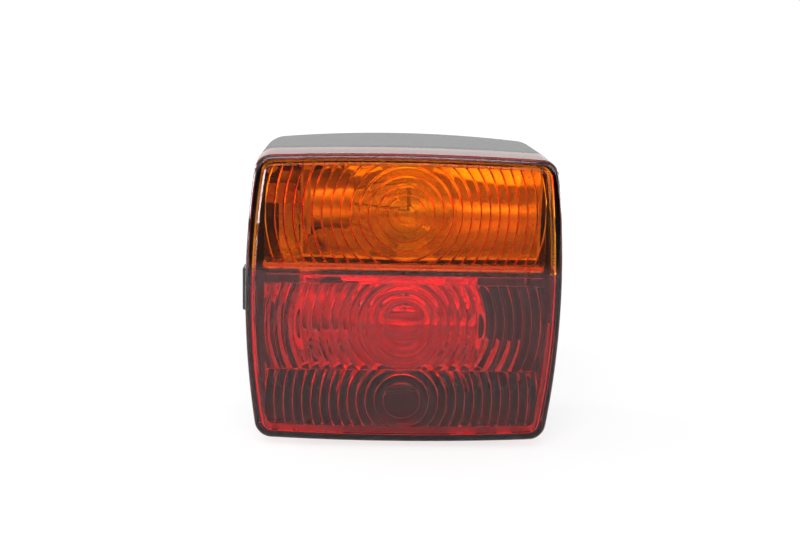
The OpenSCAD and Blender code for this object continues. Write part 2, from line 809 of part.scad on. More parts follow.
module indicator_contact_pin() {
  color([0.8, 0.62, 0.25])
    contact_pin(amber_z);
}

module stop_contact_pin() {
  color([0.8, 0.62, 0.25])
    contact_pin(stop_z);
}

module indicator_contact_leaf() {
  color([0.8, 0.62, 0.25])
    contact_leaf(amber_z);
}

module stop_contact_leaf() {
  color([0.8, 0.62, 0.25])
    contact_leaf(stop_z);
}

module indicator_bulb_glass() {
  color([0.9, 0.95, 1, 0.3])
    bulb_glass(amber_z);
}

module stop_bulb_glass() {
  color([0.9, 0.95, 1, 0.3])
    bulb_glass(stop_z);
}

module indicator_bulb_cap() {
  color([0.8, 0.78, 0.7])
    bulb_cap(amber_z);
}

module stop_bulb_cap() {
  color([0.8, 0.78, 0.7])
    bulb_cap(stop_z);
}

module indicator_bulb_insulator() {
  color([0.05, 0.04, 0.06])
    bulb_insulator(amber_z);
}

module stop_bulb_insulator() {
  color([0.05, 0.04, 0.06])
    bulb_insulator(stop_z);
}

module indicator_bulb_contact() {
  color([0.6, 0.6, 0.62])
    bulb_contact(amber_z);
}

module stop_bulb_contact() {
  color([0.6, 0.6, 0.62])
    bulb_contact(stop_z);
}

module indicator_bulb_filament() {
  color([0.4, 0.4, 0.42])
    bulb_filament(amber_z);
}

module stop_bulb_filament() {
  color([0.4, 0.4, 0.42])
    bulb_filament(stop_z);
}

// Tubular glass of the festoon bulb.
module tail_festoon_glass() {
  r = festoon_d / 2;
  bore = festoon_neck_r - 0.65;
  half = festoon_l / 2;
  color([0.9, 0.95, 1, 0.3])
    turned_x(tail_z, [[festoon_neck_r, 4.4 - half], [festoon_neck_r, 7.5 - half],
                      [r, 9 - half], [r, half - 9],
                      [festoon_neck_r, half - 7.5], [festoon_neck_r, half - 4.4],
                      [bore, half - 4.4], [bore, half - 7.7],
                      [r - 0.6, half - 9.2], [r - 0.6, 9.2 - half],
                      [bore, 7.7 - half], [bore, 4.4 - half]]);
}

// Two pointed metal caps of the festoon bulb.
module tail_festoon_caps() {
  half = festoon_l / 2;
  color([0.8, 0.78, 0.7])
    both_sides()
      turned_x(tail_z, [[festoon_neck_r, half - 7.3], [4.3, half - 7.3], [4.3, half - 3], [1.1, half],
                        [0, half], [0, half - 4.4], [festoon_neck_r, half - 4.4]]);
}

// Long filament of the festoon bulb.
module tail_festoon_filament() {
  color([0.4, 0.4, 0.42])
    rod_x(tail_z, 0.3, -festoon_l / 2 + 4.4, festoon_l / 2 - 4.4);
}

// Two sprung clips that hold the festoon bulb's tips.
module festoon_clips() {
  color([0.8, 0.62, 0.25])
    both_sides()
      difference() {
        union() {
          slab(clip_x, clip_x + strip_t, strip_front, bulb_y + 5.5, tail_z - 4.5, tail_z + 4.5);
          slab(clip_x, clip_x + clip_foot, strip_front, foot_front, tail_z - strip_half, tail_z + strip_half);
        }
        rod_x(tail_z, 2.55, clip_x - 1, clip_x + strip_t + 1);
        rod_y(clip_rivet_x, tail_z, rivet_r + hole_clearance, strip_front - 1, foot_front + 1);
      }
}

// Three screws for the supply wires.
module terminal_screws() {
  color([0.8, 0.65, 0.3])
    union() {
      for (z = [amber_z, stop_z])
        slotted_screw(terminal_x, z, pad_y + leaf_t, terminal_head_r, 1.8, terminal_shank);
      slotted_screw(supply_x, supply_z, strip_front, terminal_head_r, 1.8, terminal_shank);
    }
}

// Rubber grommet in the back, with its bore for the cable.
module cable_grommet() {
  r = grommet_r;
  flange = grommet_r + grommet_flange;
  color([0.04, 0.04, 0.04])
    turned_y(inlet_x, inlet_z,
             [[cable_r, 0.1], [flange, 0.1], [flange, 1], [r - 0.05, 1], [r - 0.05, back_wall],
              [r + 1.8, back_wall], [r + 1.2, back_wall + 1.5], [cable_r, back_wall + 1.5]]);
}

// Two hex bolts held in the housing's back, with their shanks standing out behind.
module mounting_bolts() {
  color([0.75, 0.75, 0.73])
    for (x = [-bolt_spacing / 2, bolt_spacing / 2]) {
      hex_y(x, 0, bolt_flats, back_wall, back_wall + bolt_head_h);
      rod_y(x, 0, bolt_neck_r, 0, back_wall + 0.5);
      rod_y(x, 0, bolt_d / 2, -bolt_out, 0.5);
    }
}

housing();
lens_gasket();
lens_amber();
lens_red();
bulb_carrier();
carrier_screws();
indicator_reflector();
stop_reflector();
reflector_rivets();
earth_strip();
supply_strip();
strip_rivets();
indicator_socket();
indicator_contact_bush();
indicator_contact_pin();
indicator_contact_leaf();
indicator_bulb_glass();
indicator_bulb_cap();
indicator_bulb_insulator();
indicator_bulb_contact();
indicator_bulb_filament();
stop_socket();
stop_contact_bush();
stop_contact_pin();
stop_contact_leaf();
stop_bulb_glass();
stop_bulb_cap();
stop_bulb_insulator();
stop_bulb_contact();
stop_bulb_filament();
tail_festoon_glass();
tail_festoon_caps();
tail_festoon_filament();
festoon_clips();
terminal_screws();
cable_grommet();
mounting_bolts();
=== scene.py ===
# %% [markdown]
# # A square rear lamp, dressed in Blender
#
# The lamp is a black moulded housing with a clear two-colour lens on its front: amber over the direction
# indicator, red over the stop light and the tail light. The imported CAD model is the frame: every piece here
# uses its coordinates, in metres, with +Z up and the lens facing -Y.
#
# Most of what the eye sees is light bent by the rings on the inside of the lens. So the lens is a real
# refracting solid, and everything behind it is there too.

import bmesh
import bpy
import numpy as np
from mathutils import Matrix


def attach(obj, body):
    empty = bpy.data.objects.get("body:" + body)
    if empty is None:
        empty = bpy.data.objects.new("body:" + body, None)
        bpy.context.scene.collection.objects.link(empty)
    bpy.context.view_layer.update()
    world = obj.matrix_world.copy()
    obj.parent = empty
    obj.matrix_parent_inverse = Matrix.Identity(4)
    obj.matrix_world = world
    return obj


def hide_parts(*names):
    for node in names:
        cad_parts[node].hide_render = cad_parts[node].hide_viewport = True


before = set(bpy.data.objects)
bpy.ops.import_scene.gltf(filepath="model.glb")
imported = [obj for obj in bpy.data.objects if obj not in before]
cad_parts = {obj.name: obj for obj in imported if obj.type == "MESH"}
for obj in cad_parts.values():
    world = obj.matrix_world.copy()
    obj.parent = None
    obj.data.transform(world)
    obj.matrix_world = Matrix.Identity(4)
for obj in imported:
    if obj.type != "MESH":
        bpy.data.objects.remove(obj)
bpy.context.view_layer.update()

# %% [markdown]
# ## Sizes in millimetres
#
# A lamp is drawn in millimetres, so the sizes below are the ones of the CAD model, and one function turns
# millimetres into metres. Depth is counted from the rear mounting face towards the lens, which is -Y.

# %% The lamp's sizes
MM = 0.001
LAMP_W, LENS_H, LAMP_D, JOINT = 104.0, 97.0, 54.0, 36.0
SIDE_BOW, TOP_BOW, CORNER_R = 3.9, 1.5, 6.3
REAR_H, REAR_BOW, REAR_CORNER_R = 101.0, 3.1, 9.0
SKIN = 51.2
SEAM_Z, SPLIT_Z = 10.0, -23.4
AMBER_Z, STOP_Z, TAIL_Z = 28.5, -8.0, -34.0
BULB_DEPTH = 23.0


def place(x, depth, z):
    """Points in metres: x and z as they are, and y is minus the depth, all divided by a thousand."""
    x, depth, z = np.broadcast_arrays(x, depth, z)
    return np.stack([x, -depth, z], -1).reshape(-1, 3) * MM


# %% [markdown]
# ## The camera
#
# The camera stands about 0.4 m in front of the lamp, a little above it and to its left, and the lamp
# leans by a degree and a half in the picture. A 50 mm lens at that distance keeps the sides nearly parallel.
# Between rings, glass and reflector a ray turns many times before it leaves, so it may do so up to 32 times.

# %% Camera
AZIMUTH, ELEVATION, ROLL = np.radians([-2.62, 12.13, 1.5])
DISTANCE, AIM = 0.38817, np.array([0, -0.026, 0])
FOCAL_PX, PICTURE_W, SENSOR_MM = 1114.18, 800, 36


def camera_axes(azimuth, elevation, roll):
    """Right, up and back of a camera on a sphere round the lamp: back points out along azimuth and
    elevation, right is level, and both right and up are then turned by the roll."""
    level = np.cos(elevation)
    back = np.array([np.sin(azimuth) * level, -np.cos(azimuth) * level, np.sin(elevation)])
    right = np.cross(-back, [0, 0, 1])
    right /= np.linalg.norm(right)
    up = np.cross(right, -back)
    return np.cos(roll) * right + np.sin(roll) * up, np.cos(roll) * up - np.sin(roll) * right, back


right, up, back = camera_axes(AZIMUTH, ELEVATION, ROLL)
camera_data = bpy.data.cameras.new("photo_camera")
camera_data.sensor_width = SENSOR_MM
camera_data.lens = FOCAL_PX * SENSOR_MM / PICTURE_W
camera_data.shift_x, camera_data.shift_y = -0.0011, 0.0098
camera_data.clip_start = 0.01
camera = bpy.data.objects.new("photo_camera", camera_data)
bpy.context.scene.collection.objects.link(camera)
eye = AIM + back * DISTANCE
camera.matrix_world = Matrix([[right[i], up[i], back[i], eye[i]] for i in range(3)] + [[0, 0, 0, 1]])
bpy.context.scene.camera = camera
bpy.context.scene.view_settings.view_transform = "Standard"
cycles = bpy.context.scene.cycles
cycles.max_bounces, cycles.glossy_bounces, cycles.transmission_bounces = 32, 24, 32
print("camera at", eye.round(4), "lens", round(camera_data.lens, 2), "mm")

# %% [markdown]
# ## Nodes for materials
#
# Colours are written as the eye sees them, in sRGB hex, and shaders need linear light. Small helpers
# cover every material here: one turns hex to linear, one adds a node with its settings and links, and one
# lets a finish wander, because no moulded, rolled or plated surface is equally smooth all over.


# %% Material helpers
def linear(code):
    """sRGB hex to linear RGBA: each channel is c/12.92 below 0.04045, else ((c+0.055)/1.055)^2.4."""
    c = np.array([int(code[i : i + 2], 16) for i in (1, 3, 5)]) / 255
    c = np.where(c <= 0.04045, c / 12.92, ((c + 0.055) / 1.055) ** 2.4)
    return (*c.tolist(), 1.0)


def add(tree, kind, settings=None, **inputs):
    """Adds a node, sets its settings and fills its inputs by name: a socket is linked, a value is set."""
    node = tree.nodes.new(kind)
    for key, value in (settings or {}).items():
        setattr(node, key, value)
    for key, value in inputs.items():
        socket = node.inputs[int(key[1:])] if key[1:].isdigit() else node.inputs[key.replace("_", " ")]
        if isinstance(value, bpy.types.NodeSocket):
            tree.links.new(value, socket)
        else:
            socket.default_value = value
    return node


def new_material(name):
    """An empty node material and its tree."""
    material = bpy.data.materials.new(name)
    material.use_nodes = True
    material.node_tree.nodes.clear()
    return material, material.node_tree


def finish_material(tree, surface, volume=None):
    """Links the shader, and what fills the inside if there is something, to the output."""
    out = add(tree, "ShaderNodeOutputMaterial", Surface=surface)
    if volume is not None:
        tree.links.new(volume, out.inputs["Volume"])


def uneven(tree, low, high, patch_mm, detail=2.0, rough=0.5):
    """Noise whose patches have one real size, and a roughness that follows it from low to high."""
    place_on = add(tree, "ShaderNodeTexCoord")
    noise = add(
        tree,
        "ShaderNodeTexNoise",
        Vector=place_on.outputs["Object"],
        Scale=1 / (patch_mm * MM),
        Detail=detail,
        Roughness=rough,
    )
    patches = noise.outputs["Fac"]
    shine = add(
        tree, "ShaderNodeMapRange", Value=patches, From_Min=0.3, From_Max=0.7, To_Min=low, To_Max=high
    )
    return patches, shine.outputs["Result"]


# %% [markdown]
# ## Lens plastic
#
# The lens is injection-moulded acrylic: polished steel moulds give it a mirror-smooth skin, so its roughness
# is next to nothing and its IOR is 1.49. The dye is in the plastic, not on it. A ray that travels further
# inside comes out darker, which is why the rim and the walls look deeper than the front. A volume absorption
# inside a closed mesh does just that. The front, skin and rings together, is about 3.2 mm thick.


# %% Coloured acrylic
CROSSING_MM = 3.2


def coloured_acrylic(name, passes, thickness_mm):
    """Dyed clear plastic. The absorption follows Beer's law: what is left after a path is exp(-density *
    (1 - colour) * path), so one density and one colour give the wanted share of each channel after one
    crossing of the given thickness."""
    material, tree = new_material(name)
    absorbed = -np.log(np.array(passes)) / (thickness_mm * MM)
    # Two percent above the strongest channel, so that no channel of the colour is quite zero.
    density = absorbed.max() * 1.02
    colour = 1 - absorbed / density
    _, shine = uneven(tree, 0.01, 0.035, 12.0)
    shader = add(
        tree,
        "ShaderNodeBsdfPrincipled",
        Base_Color=(1, 1, 1, 1),
        Roughness=shine,
        IOR=1.49,
        Transmission_Weight=1.0,
    )
    inside = add(tree, "ShaderNodeVolumeAbsorption", Color=(*colour.tolist(), 1), Density=float(density))
    finish_material(tree, shader.outputs[0], inside.outputs[0])
    return material


amber_acrylic = coloured_acrylic("acrylic_amber_moulded", (0.97, 0.42, 0.03), CROSSING_MM)
red_acrylic = coloured_acrylic("acrylic_red_moulded", (0.91, 0.012, 0.05), CROSSING_MM)
print("lens plastics made, dyed for a crossing of", CROSSING_MM, "mm")

# %% [markdown]
# ## Black mouldings, rubber and metals
#
# The housing is black ABS from a spark-eroded mould, so it has a fine even grain that turns highlights into a
# grey sheen. The carrier behind the lens is the same plastic with a smoother skin. Rubber is duller still.
# The metals are plated sheet and turned brass. Each gets a small change of roughness and tone from handling
# and plating. The reflector behind the amber is satin and spreads its light, and the one behind the red is
# polished, so that the rings show sharp bright and dark bands in it.


# %% Opaque finishes
def grained(name, code, roughness, grain_mm, depth_mm, spread=0.08):
    """Moulded plastic or rubber: noise of one real grain size drives a small bump and a little roughness."""
    material, tree = new_material(name)
    grain, shine = uneven(tree, roughness - spread, roughness + spread, grain_mm, 3.0, 0.6)
    bump = add(tree, "ShaderNodeBump", Height=grain, Strength=0.6, Distance=depth_mm * MM)
    shader = add(
        tree,
        "ShaderNodeBsdfPrincipled",
        Base_Color=linear(code),
        Roughness=shine,
        Normal=bump.outputs[0],
        IOR=1.5,
    )
    finish_material(tree, shader.outputs[0])
    return material


def plated(name, code, roughness, blotch_mm, spread=0.06, dull=None):
    """Plated or bare metal: slow blotches move the roughness and the tone a little."""
    material, tree = new_material(name)
    blotch, shine = uneven(tree, max(roughness - spread, 0.03), roughness + spread, blotch_mm, 4.0)
    tone = add(tree, "ShaderNodeMix", {"data_type": "RGBA"}, _0=blotch)
    tone.inputs[6].default_value = linear(dull or code)
    tone.inputs[7].default_value = linear(code)
    shader = add(
        tree,
        "ShaderNodeBsdfPrincipled",
        Base_Color=tone.outputs[2],
        Metallic=1.0,
        Roughness=shine,
    )
    finish_material(tree, shader.outputs[0])
    return material


housing_abs = grained("abs_black_spark_eroded", "#2B2B2C", 0.42, 0.35, 0.03)
carrier_abs = grained("abs_black_moulded", "#1C1B1B", 0.35, 0.5, 0.01)
gasket_rubber = grained("nitrile_rubber_pressed", "#19191A", 0.75, 0.4, 0.02)
phenolic = grained("phenolic_board_punched", "#5A2A18", 0.5, 0.3, 0.02)
satin_aluminium = plated("aluminium_satin_pressed", "#F5F4F1", 0.26, 9.0, dull="#ECEAE5")
bright_aluminium = plated("aluminium_polished_pressed", "#EDECE8", 0.05, 9.0, 0.02, dull="#E2E0DA")
zinc_plate = plated("zinc_plated_steel", "#E2E0D8", 0.34, 3.0, dull="#CFCFCA")
tinned = plated("tinned_steel_rolled", "#D9D7CE", 0.25, 4.0, dull="#C2BFB4")
brass = plated("brass_rolled", "#E0BE72", 0.25, 3.0, dull="#C9A352")
nickel = plated("nickel_plated_brass", "#E8E2D4", 0.3, 4.0, dull="#DAD2C0")
rivet_aluminium = plated("aluminium_pressed", "#D0CFCC", 0.35, 1.5)
solder = plated("tin_solder_blob", "#B4B4B8", 0.4, 0.6)
tungsten = plated("tungsten_drawn", "#8E8E92", 0.35, 1.0)
black_glass = grained("glass_black_fused", "#141016", 0.12, 0.5, 0.004)
print(len(bpy.data.materials), "materials")

# %% [markdown]
# In the photo both light fields run right up to the colour seam, so the wall between the chambers can't be
# black there. It is faced with bright foil. One material serves the whole carrier: the foil shows where the
# height is that of the wall and the depth is in front of the plate.

# %% Foil on the wall between the chambers
WALL_HALF, PLATE_FRONT = 0.95, 8.4
tree = carrier_abs.node_tree
black = tree.nodes["Principled BSDF"]
place_on = add(tree, "ShaderNodeTexCoord")
split = add(tree, "ShaderNodeSeparateXYZ", Vector=place_on.outputs["Object"])
level = add(
    tree, "ShaderNodeMath", {"operation": "COMPARE"}, _0=split.outputs["Z"], _1=SEAM_Z * MM, _2=WALL_HALF * MM
)
ahead = add(tree, "ShaderNodeMath", {"operation": "LESS_THAN"}, _0=split.outputs["Y"], _1=-PLATE_FRONT * MM)
faced = add(tree, "ShaderNodeMath", {"operation": "MULTIPLY"}, _0=level.outputs[0], _1=ahead.outputs[0])
_, crinkle = uneven(tree, 0.2, 0.4, 4.0)
foil = add(tree, "ShaderNodeBsdfPrincipled", Base_Color=linear("#EDEBE6"), Metallic=1.0, Roughness=crinkle)
wall = add(tree, "ShaderNodeMixShader", _0=faced.outputs[0], _1=black.outputs[0], _2=foil.outputs[0])
tree.links.new(wall.outputs[0], tree.nodes["Material Output"].inputs["Surface"])
print("foil on the wall at z", SEAM_Z, "mm")

# %% [markdown]
# ## Bulb glass
#
# Soda-lime glass is nearly colourless and 0.5 mm thick. Its two skins each send back about a twentieth of the
# light, which is all that shows of a clean bulb.

# %% Clear glass
clear_glass, tree = new_material("glass_soda_lime_blown")
_, waviness = uneven(tree, 0.005, 0.02, 10.0)
glass = add(
    tree,
    "ShaderNodeBsdfPrincipled",
    Base_Color=linear("#FBFDFC"),
    Roughness=waviness,
    IOR=1.52,
    Transmission_Weight=1.0,
)
finish_material(tree, glass.outputs[0])
print("bulb glass made")

# %% [markdown]
# ## Surfaces as grids
#
# Nearly every piece here is a grid of points: rows along one parameter, columns along the other. One function
# gives the faces of such a grid, one welds grids into a closed mesh, turns its faces outward and marks edges
# sharper than an angle, so that flats stay flat and rounds stay smooth.


# %% Grid and mesh helpers
def grid_faces(rows, columns, wrap=False):
    """Quads between neighbours in a grid of points; wrap joins the last column to the first."""
    r = np.arange(rows - 1)[:, None]
    c = np.arange(columns if wrap else columns - 1)[None, :]
    n = (c + 1) % columns
    low, high = r * columns, (r + 1) * columns
    return np.stack([low + c, low + n, high + n, high + c], -1).reshape(-1, 4)


def fill_flat(mesh, loops):
    """Adds flat faces between closed loops of points that lie in one plane: the first loop is the outside."""
    edges = []
    for loop in loops:
        ring = [mesh.verts.new(p) for p in loop]
        edges += [mesh.edges.new((ring[i - 1], ring[i])) for i in range(len(ring))]
    bmesh.ops.triangle_fill(mesh, use_beauty=True, use_dissolve=False, edges=edges)


def weld(mesh, gap_mm=0.002):
    """Merges points closer than the gap, drops what has no area or no face, and turns all faces outward."""
    bmesh.ops.remove_doubles(mesh, verts=mesh.verts, dist=gap_mm * MM)
    bmesh.ops.dissolve_degenerate(mesh, edges=mesh.edges, dist=gap_mm * MM / 2)
    loose = [v for v in mesh.verts if not v.link_faces]
    bmesh.ops.delete(mesh, geom=loose, context="VERTS")
    bare = [e for e in mesh.edges if not e.link_faces]
    bmesh.ops.delete(mesh, geom=bare, context="EDGES")
    bmesh.ops.recalc_face_normals(mesh, faces=mesh.faces)


def grids_to_mesh(grids, flats=()):
    """A bmesh from grids, each one its points (rows, columns, 3) and wrap, and from flat fills."""
    points, faces, start = [], [], 0
    for grid, wrap in grids:
        points.append(grid.reshape(-1, 3))
        faces.append(grid_faces(grid.shape[0], grid.shape[1], wrap) + start)
        start += grid.shape[0] * grid.shape[1]
    data = bpy.data.meshes.new("parts")
    data.from_pydata(np.concatenate(points), [], np.concatenate(faces).tolist())
    mesh = bmesh.new()
    mesh.from_mesh(data)
    bpy.data.meshes.remove(data)
    for loops in flats:
        fill_flat(mesh, loops)
    weld(mesh)
    return mesh


def make_piece(name, mesh, material, sharp=30):
    """A smooth-shaded object from a bmesh, with edges over the angle, in degrees, kept sharp."""
    data = bpy.data.meshes.new(name)
    mesh.to_mesh(data)
    mesh.free()
    data.polygons.foreach_set("use_smooth", np.ones(len(data.polygons), bool))
    data.set_sharp_from_angle(angle=np.radians(sharp))
    data.materials.append(material)
    piece = bpy.data.objects.new(name, data)
    bpy.context.scene.collection.objects.link(piece)
    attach(piece, "root")
    print(name, len(data.polygons), "faces")
    return piece


# %% [markdown]
# ## The bowed outline
#
# Seen from the front the lamp is not a rectangle: each side is a shallow arc, and small arcs round the
# corners. The corner's centre is where two circles meet, so that it touches the side arc and the top arc.


# %% Outline of the lamp
def outline(width, height, bow_x, bow_z, radius, side_steps=26, corner_steps=14):
    """Points (n, 2) of a bowed rectangle, from the right-hand middle round over the top. A side that bows
    by b over half its length a is an arc of radius (a*a + b*b) / 2b. The corner arc's centre lies at the
    distance (arc radius - corner radius) from both arcs' centres."""
    rx = (height**2 / 4 + bow_x**2) / (2 * bow_x)
    rz = (width**2 / 4 + bow_z**2) / (2 * bow_z)
    c1, c2 = np.array([width / 2 - rx, 0]), np.array([0, height / 2 - rz])
    a, b = rx - radius, rz - radius
    apart = np.linalg.norm(c2 - c1)
    along = (c2 - c1) / apart
    x = (apart**2 + a * a - b * b) / (2 * apart)
    corner = c1 + along * x + np.array([-along[1], along[0]]) * np.sqrt(a * a - x * x)
    t1 = np.arctan2(*(corner - c1)[::-1])
    t2 = np.arctan2(*(corner - c2)[::-1])
    arcs = [
        (c1, rx, np.linspace(0, t1, side_steps, endpoint=False)),
        (corner, radius, np.linspace(t1, t2, corner_steps, endpoint=False)),
        (c2, rz, np.linspace(t2, np.pi / 2, side_steps + 1)),
    ]
    quarter = np.concatenate([c + r * np.stack([np.cos(t), np.sin(t)], -1) for c, r, t in arcs])
    half = np.concatenate([quarter, quarter[-2::-1] * [-1, 1]])
    return np.concatenate([half, half[-2:0:-1] * [1, -1]])


LEAST_R, REAR_SIDE_BOW = 0.8, 0.8 * SIDE_BOW


def joint_outline(inset):
    """The lens's outline at the joint, drawn in on every side."""
    return outline(LAMP_W - 2 * inset, LENS_H - 2 * inset, SIDE_BOW, TOP_BOW, max(CORNER_R - inset, LEAST_R))


def rear_outline(inset):
    """The housing's outline at the rear face, drawn in on every side."""
    radius = max(REAR_CORNER_R - inset, LEAST_R)
    return outline(LAMP_W - 2 * inset, REAR_H - 2 * inset, REAR_SIDE_BOW, REAR_BOW, radius)


def between(inset, depth):
    """The housing's outline at a depth: a straight mix of the rear and the joint outline."""
    share = depth / JOINT
    return rear_outline(inset) * (1 - share) + joint_outline(inset) * share


def loft(levels):
    """A grid (levels, n, 3) from outlines and their depths."""
    return np.stack([place(o[:, 0], d, o[:, 1]) for o, d in levels])


print("points round one outline", len(joint_outline(0)))

# %% [markdown]
# ## Rings of the lens
#
# Each field of rings is a Fresnel lens: the curve of a thick lens cut into steps of one pitch. Its section is
# a saw, and a mould can't make a sharp edge, so tips and feet are small arcs. The rings over the indicator
# are plain. Those over the stop and the tail light are crowned, which spreads the light into soft bands.

# %% Ring profile
PITCH, STEP, LOW, GROWING = 3.0, 1.5, 0.15, 5
TIP_R, VALLEY_R, RISER_LEAN, ARC_POINTS = 0.42, 0.22, np.radians(4), 7


def corner_arcs(radius, wall_at, slope_at, slope):
    """Arc of a radius between a tooth's steep wall and its slope. The wall goes up from (wall_at, 0) and
    leans outward, and the slope falls from the point slope_at. The centre lies at the radius from both lines,
    inside the plastic for a positive radius (a tip) and outside it for a negative one (a valley)."""
    wall = np.array([-np.cos(RISER_LEAN), np.sin(RISER_LEAN)])
    across, up_by = np.sin(slope), np.cos(slope)
    right = across * slope_at[0] + up_by * slope_at[1] - radius
    left = wall[0] * wall_at - radius
    det = wall[0] * up_by - wall[1] * across
    x = (left * up_by - wall[1] * right) / det
    y = (wall[0] * right - across * left) / det
    share = np.linspace(0, 1, ARC_POINTS)[:, None]
    angle = (np.pi - RISER_LEAN) * (1 - share) + (np.pi / 2 - slope) * share
    return x + radius * np.cos(angle), y + radius * np.sin(angle)


def tooth_profile(first, count, crown):
    """Radius and height of the teeth, from the centre outward. Each ring rises at its inner edge over a
    rounded tip. A plain ring then falls in a straight line to the rounded foot of the next one, and a
    crowned one falls along low + (top - low) (1 - s * s), with s from 0 to 1 over the pitch, so that it
    gets steeper and spreads the light. The step's height grows over the first five rings, and the arcs on
    low teeth get smaller with them."""
    i = np.arange(first, count)
    top = STEP * np.minimum(1, (i + 1) / GROWING)
    slope = 0 * top if crown else np.arctan((top - LOW) / PITCH)
    inner, start = i * PITCH, (i * PITCH, top)
    tip_r, tip_h = corner_arcs(np.minimum(TIP_R, 0.28 * top), inner, start, slope)
    foot_r, foot_h = corner_arcs(-np.minimum(VALLEY_R, 0.15 * top), inner + PITCH, start, slope)
    if crown:
        s = np.linspace(1, 0.16, 8)[:, None]
        foot_r, foot_h = inner + PITCH * s, LOW + (top - LOW) * (1 - s * s)
    rings = np.concatenate([tip_r, foot_r[::-1]]).T, np.concatenate([tip_h, foot_h[::-1]]).T
    radius, height = rings[0].ravel(), rings[1].ravel()
    if first == 0:
        return np.r_[0.0, radius[ARC_POINTS:]], np.r_[top[0], height[ARC_POINTS:]]
    return np.r_[0.0, inner[0], radius], np.r_[LOW, LOW, height]


print("tooth tips at radii", np.round(np.arange(4) * PITCH, 1), "mm and on")

# %% [markdown]
# A grid in polar coordinates about the optical centre follows the rings exactly. Where the field ends, every
# ray of the grid stops at the field's edge, so the teeth are cut off cleanly along it and the wall goes down
# to the skin. Cutting with a boolean would work too, but it leaves slivers along hundreds of curved edges.

# %% Ring fields
RINGS, TURNS = 17, 348
FIELD = outline(91, 86.8, 1.0, 0.8, 2.6, 20, 8) + [0, 0.5]


def reach(centre, loop, angles):
    """Distance from the centre to a closed loop of straight edges in each direction: every edge that the
    direction's ray crosses gives a distance, and the smallest one counts."""
    p, q = loop, np.roll(loop, -1, 0)
    e, w = q - p, p - centre
    d = np.stack([np.cos(angles), np.sin(angles)], -1)[:, None]
    cross = d[..., 0] * e[:, 1] - d[..., 1] * e[:, 0]
    cross = np.where(np.abs(cross) < 1e-12, 1e-12, cross)
    t = (w[:, 0] * e[:, 1] - w[:, 1] * e[:, 0]) / cross
    s = (w[:, 0] * d[..., 1] - w[:, 1] * d[..., 0]) / cross
    return np.where((t > 0) & (s >= -1e-9) & (s <= 1 + 1e-9), t, 1e9).min(1)


def clip_rows(loop, low, high):
    """The part of a convex loop between two heights: crossings are added where its edges pass them."""
    for level, keep_above in ((low, True), (high, False)):
        inside = loop[:, 1] >= level if keep_above else loop[:, 1] <= level
        nxt = np.roll(loop, -1, 0)
        share = (level - loop[:, 1]) / np.where(nxt[:, 1] == loop[:, 1], 1, nxt[:, 1] - loop[:, 1])
        crossing = loop + (nxt - loop) * share[:, None]
        crossing[:, 1] = level
        crosses = inside != np.roll(inside, -1)
        both = np.stack([loop, crossing], 1).reshape(-1, 2)
        loop = both[np.stack([inside, crosses], 1).ravel()]
    return loop


def ring_field(centre_z, low, high, first, crown=False):
    """The teeth of one field as a grid of points, and the loop where they stand on the skin."""
    loop = clip_rows(FIELD, low, high)
    centre = np.array([0, centre_z])
    corners = np.arctan2(loop[:, 1] - centre_z, loop[:, 0])
    angles = np.unique(np.r_[np.linspace(-np.pi, np.pi, TURNS, endpoint=False), corners].round(5))
    far = reach(centre, loop, angles)
    radius, height = tooth_profile(first, RINGS, crown)
    r = np.minimum(radius[:, None], far[None])
    h = np.interp(r, radius, height)
    r, h = np.r_[r, far[None], far[None]], np.r_[h, np.full((1, len(far)), LOW), np.zeros((1, len(far)))]
    grid = place(r * np.cos(angles), SKIN - h, centre_z + r * np.sin(angles)).reshape(*r.shape, 3)
    return grid, grid[-1]


print("ring fields with", TURNS, "directions")

# %% [markdown]
# ## The lens
#
# The shell is two lofts joined at the edge that presses on the gasket: outside with a rounded rim, inside
# straight with a small chamfer. A narrow bevel lifts the front panel half a millimetre above the rim, and
# the lamp at the side draws a thin white line in it. Both lofts end in flat faces, and the inner one has
# openings for the ring fields and the ribs. One long rib hangs under the seam, and near each side a short
# one hangs above and below it.

# %% Lens solid
WALL, DRAFT, RIM = 1.8, 0.5, 1.7
PANEL_INSET, PANEL_RISE = 3.9, 0.55
LONG_TIP, SHORT_TIP, SHORT_X0, SHORT_X1 = 45.6, 48.6, 39.6, 40.8
BEYOND = 60


def rib(x0, x1, tip, z0, z1):
    """A rib that hangs from the skin: the four sides as a grid, its flat end, and its foot loop."""
    corners = np.array([[x0, z0], [x1, z0], [x1, z1], [x0, z1]])
    sides = np.stack([place(corners[:, 0], SKIN, corners[:, 1]), place(corners[:, 0], tip, corners[:, 1])])
    return sides, [sides[1]], sides[0]


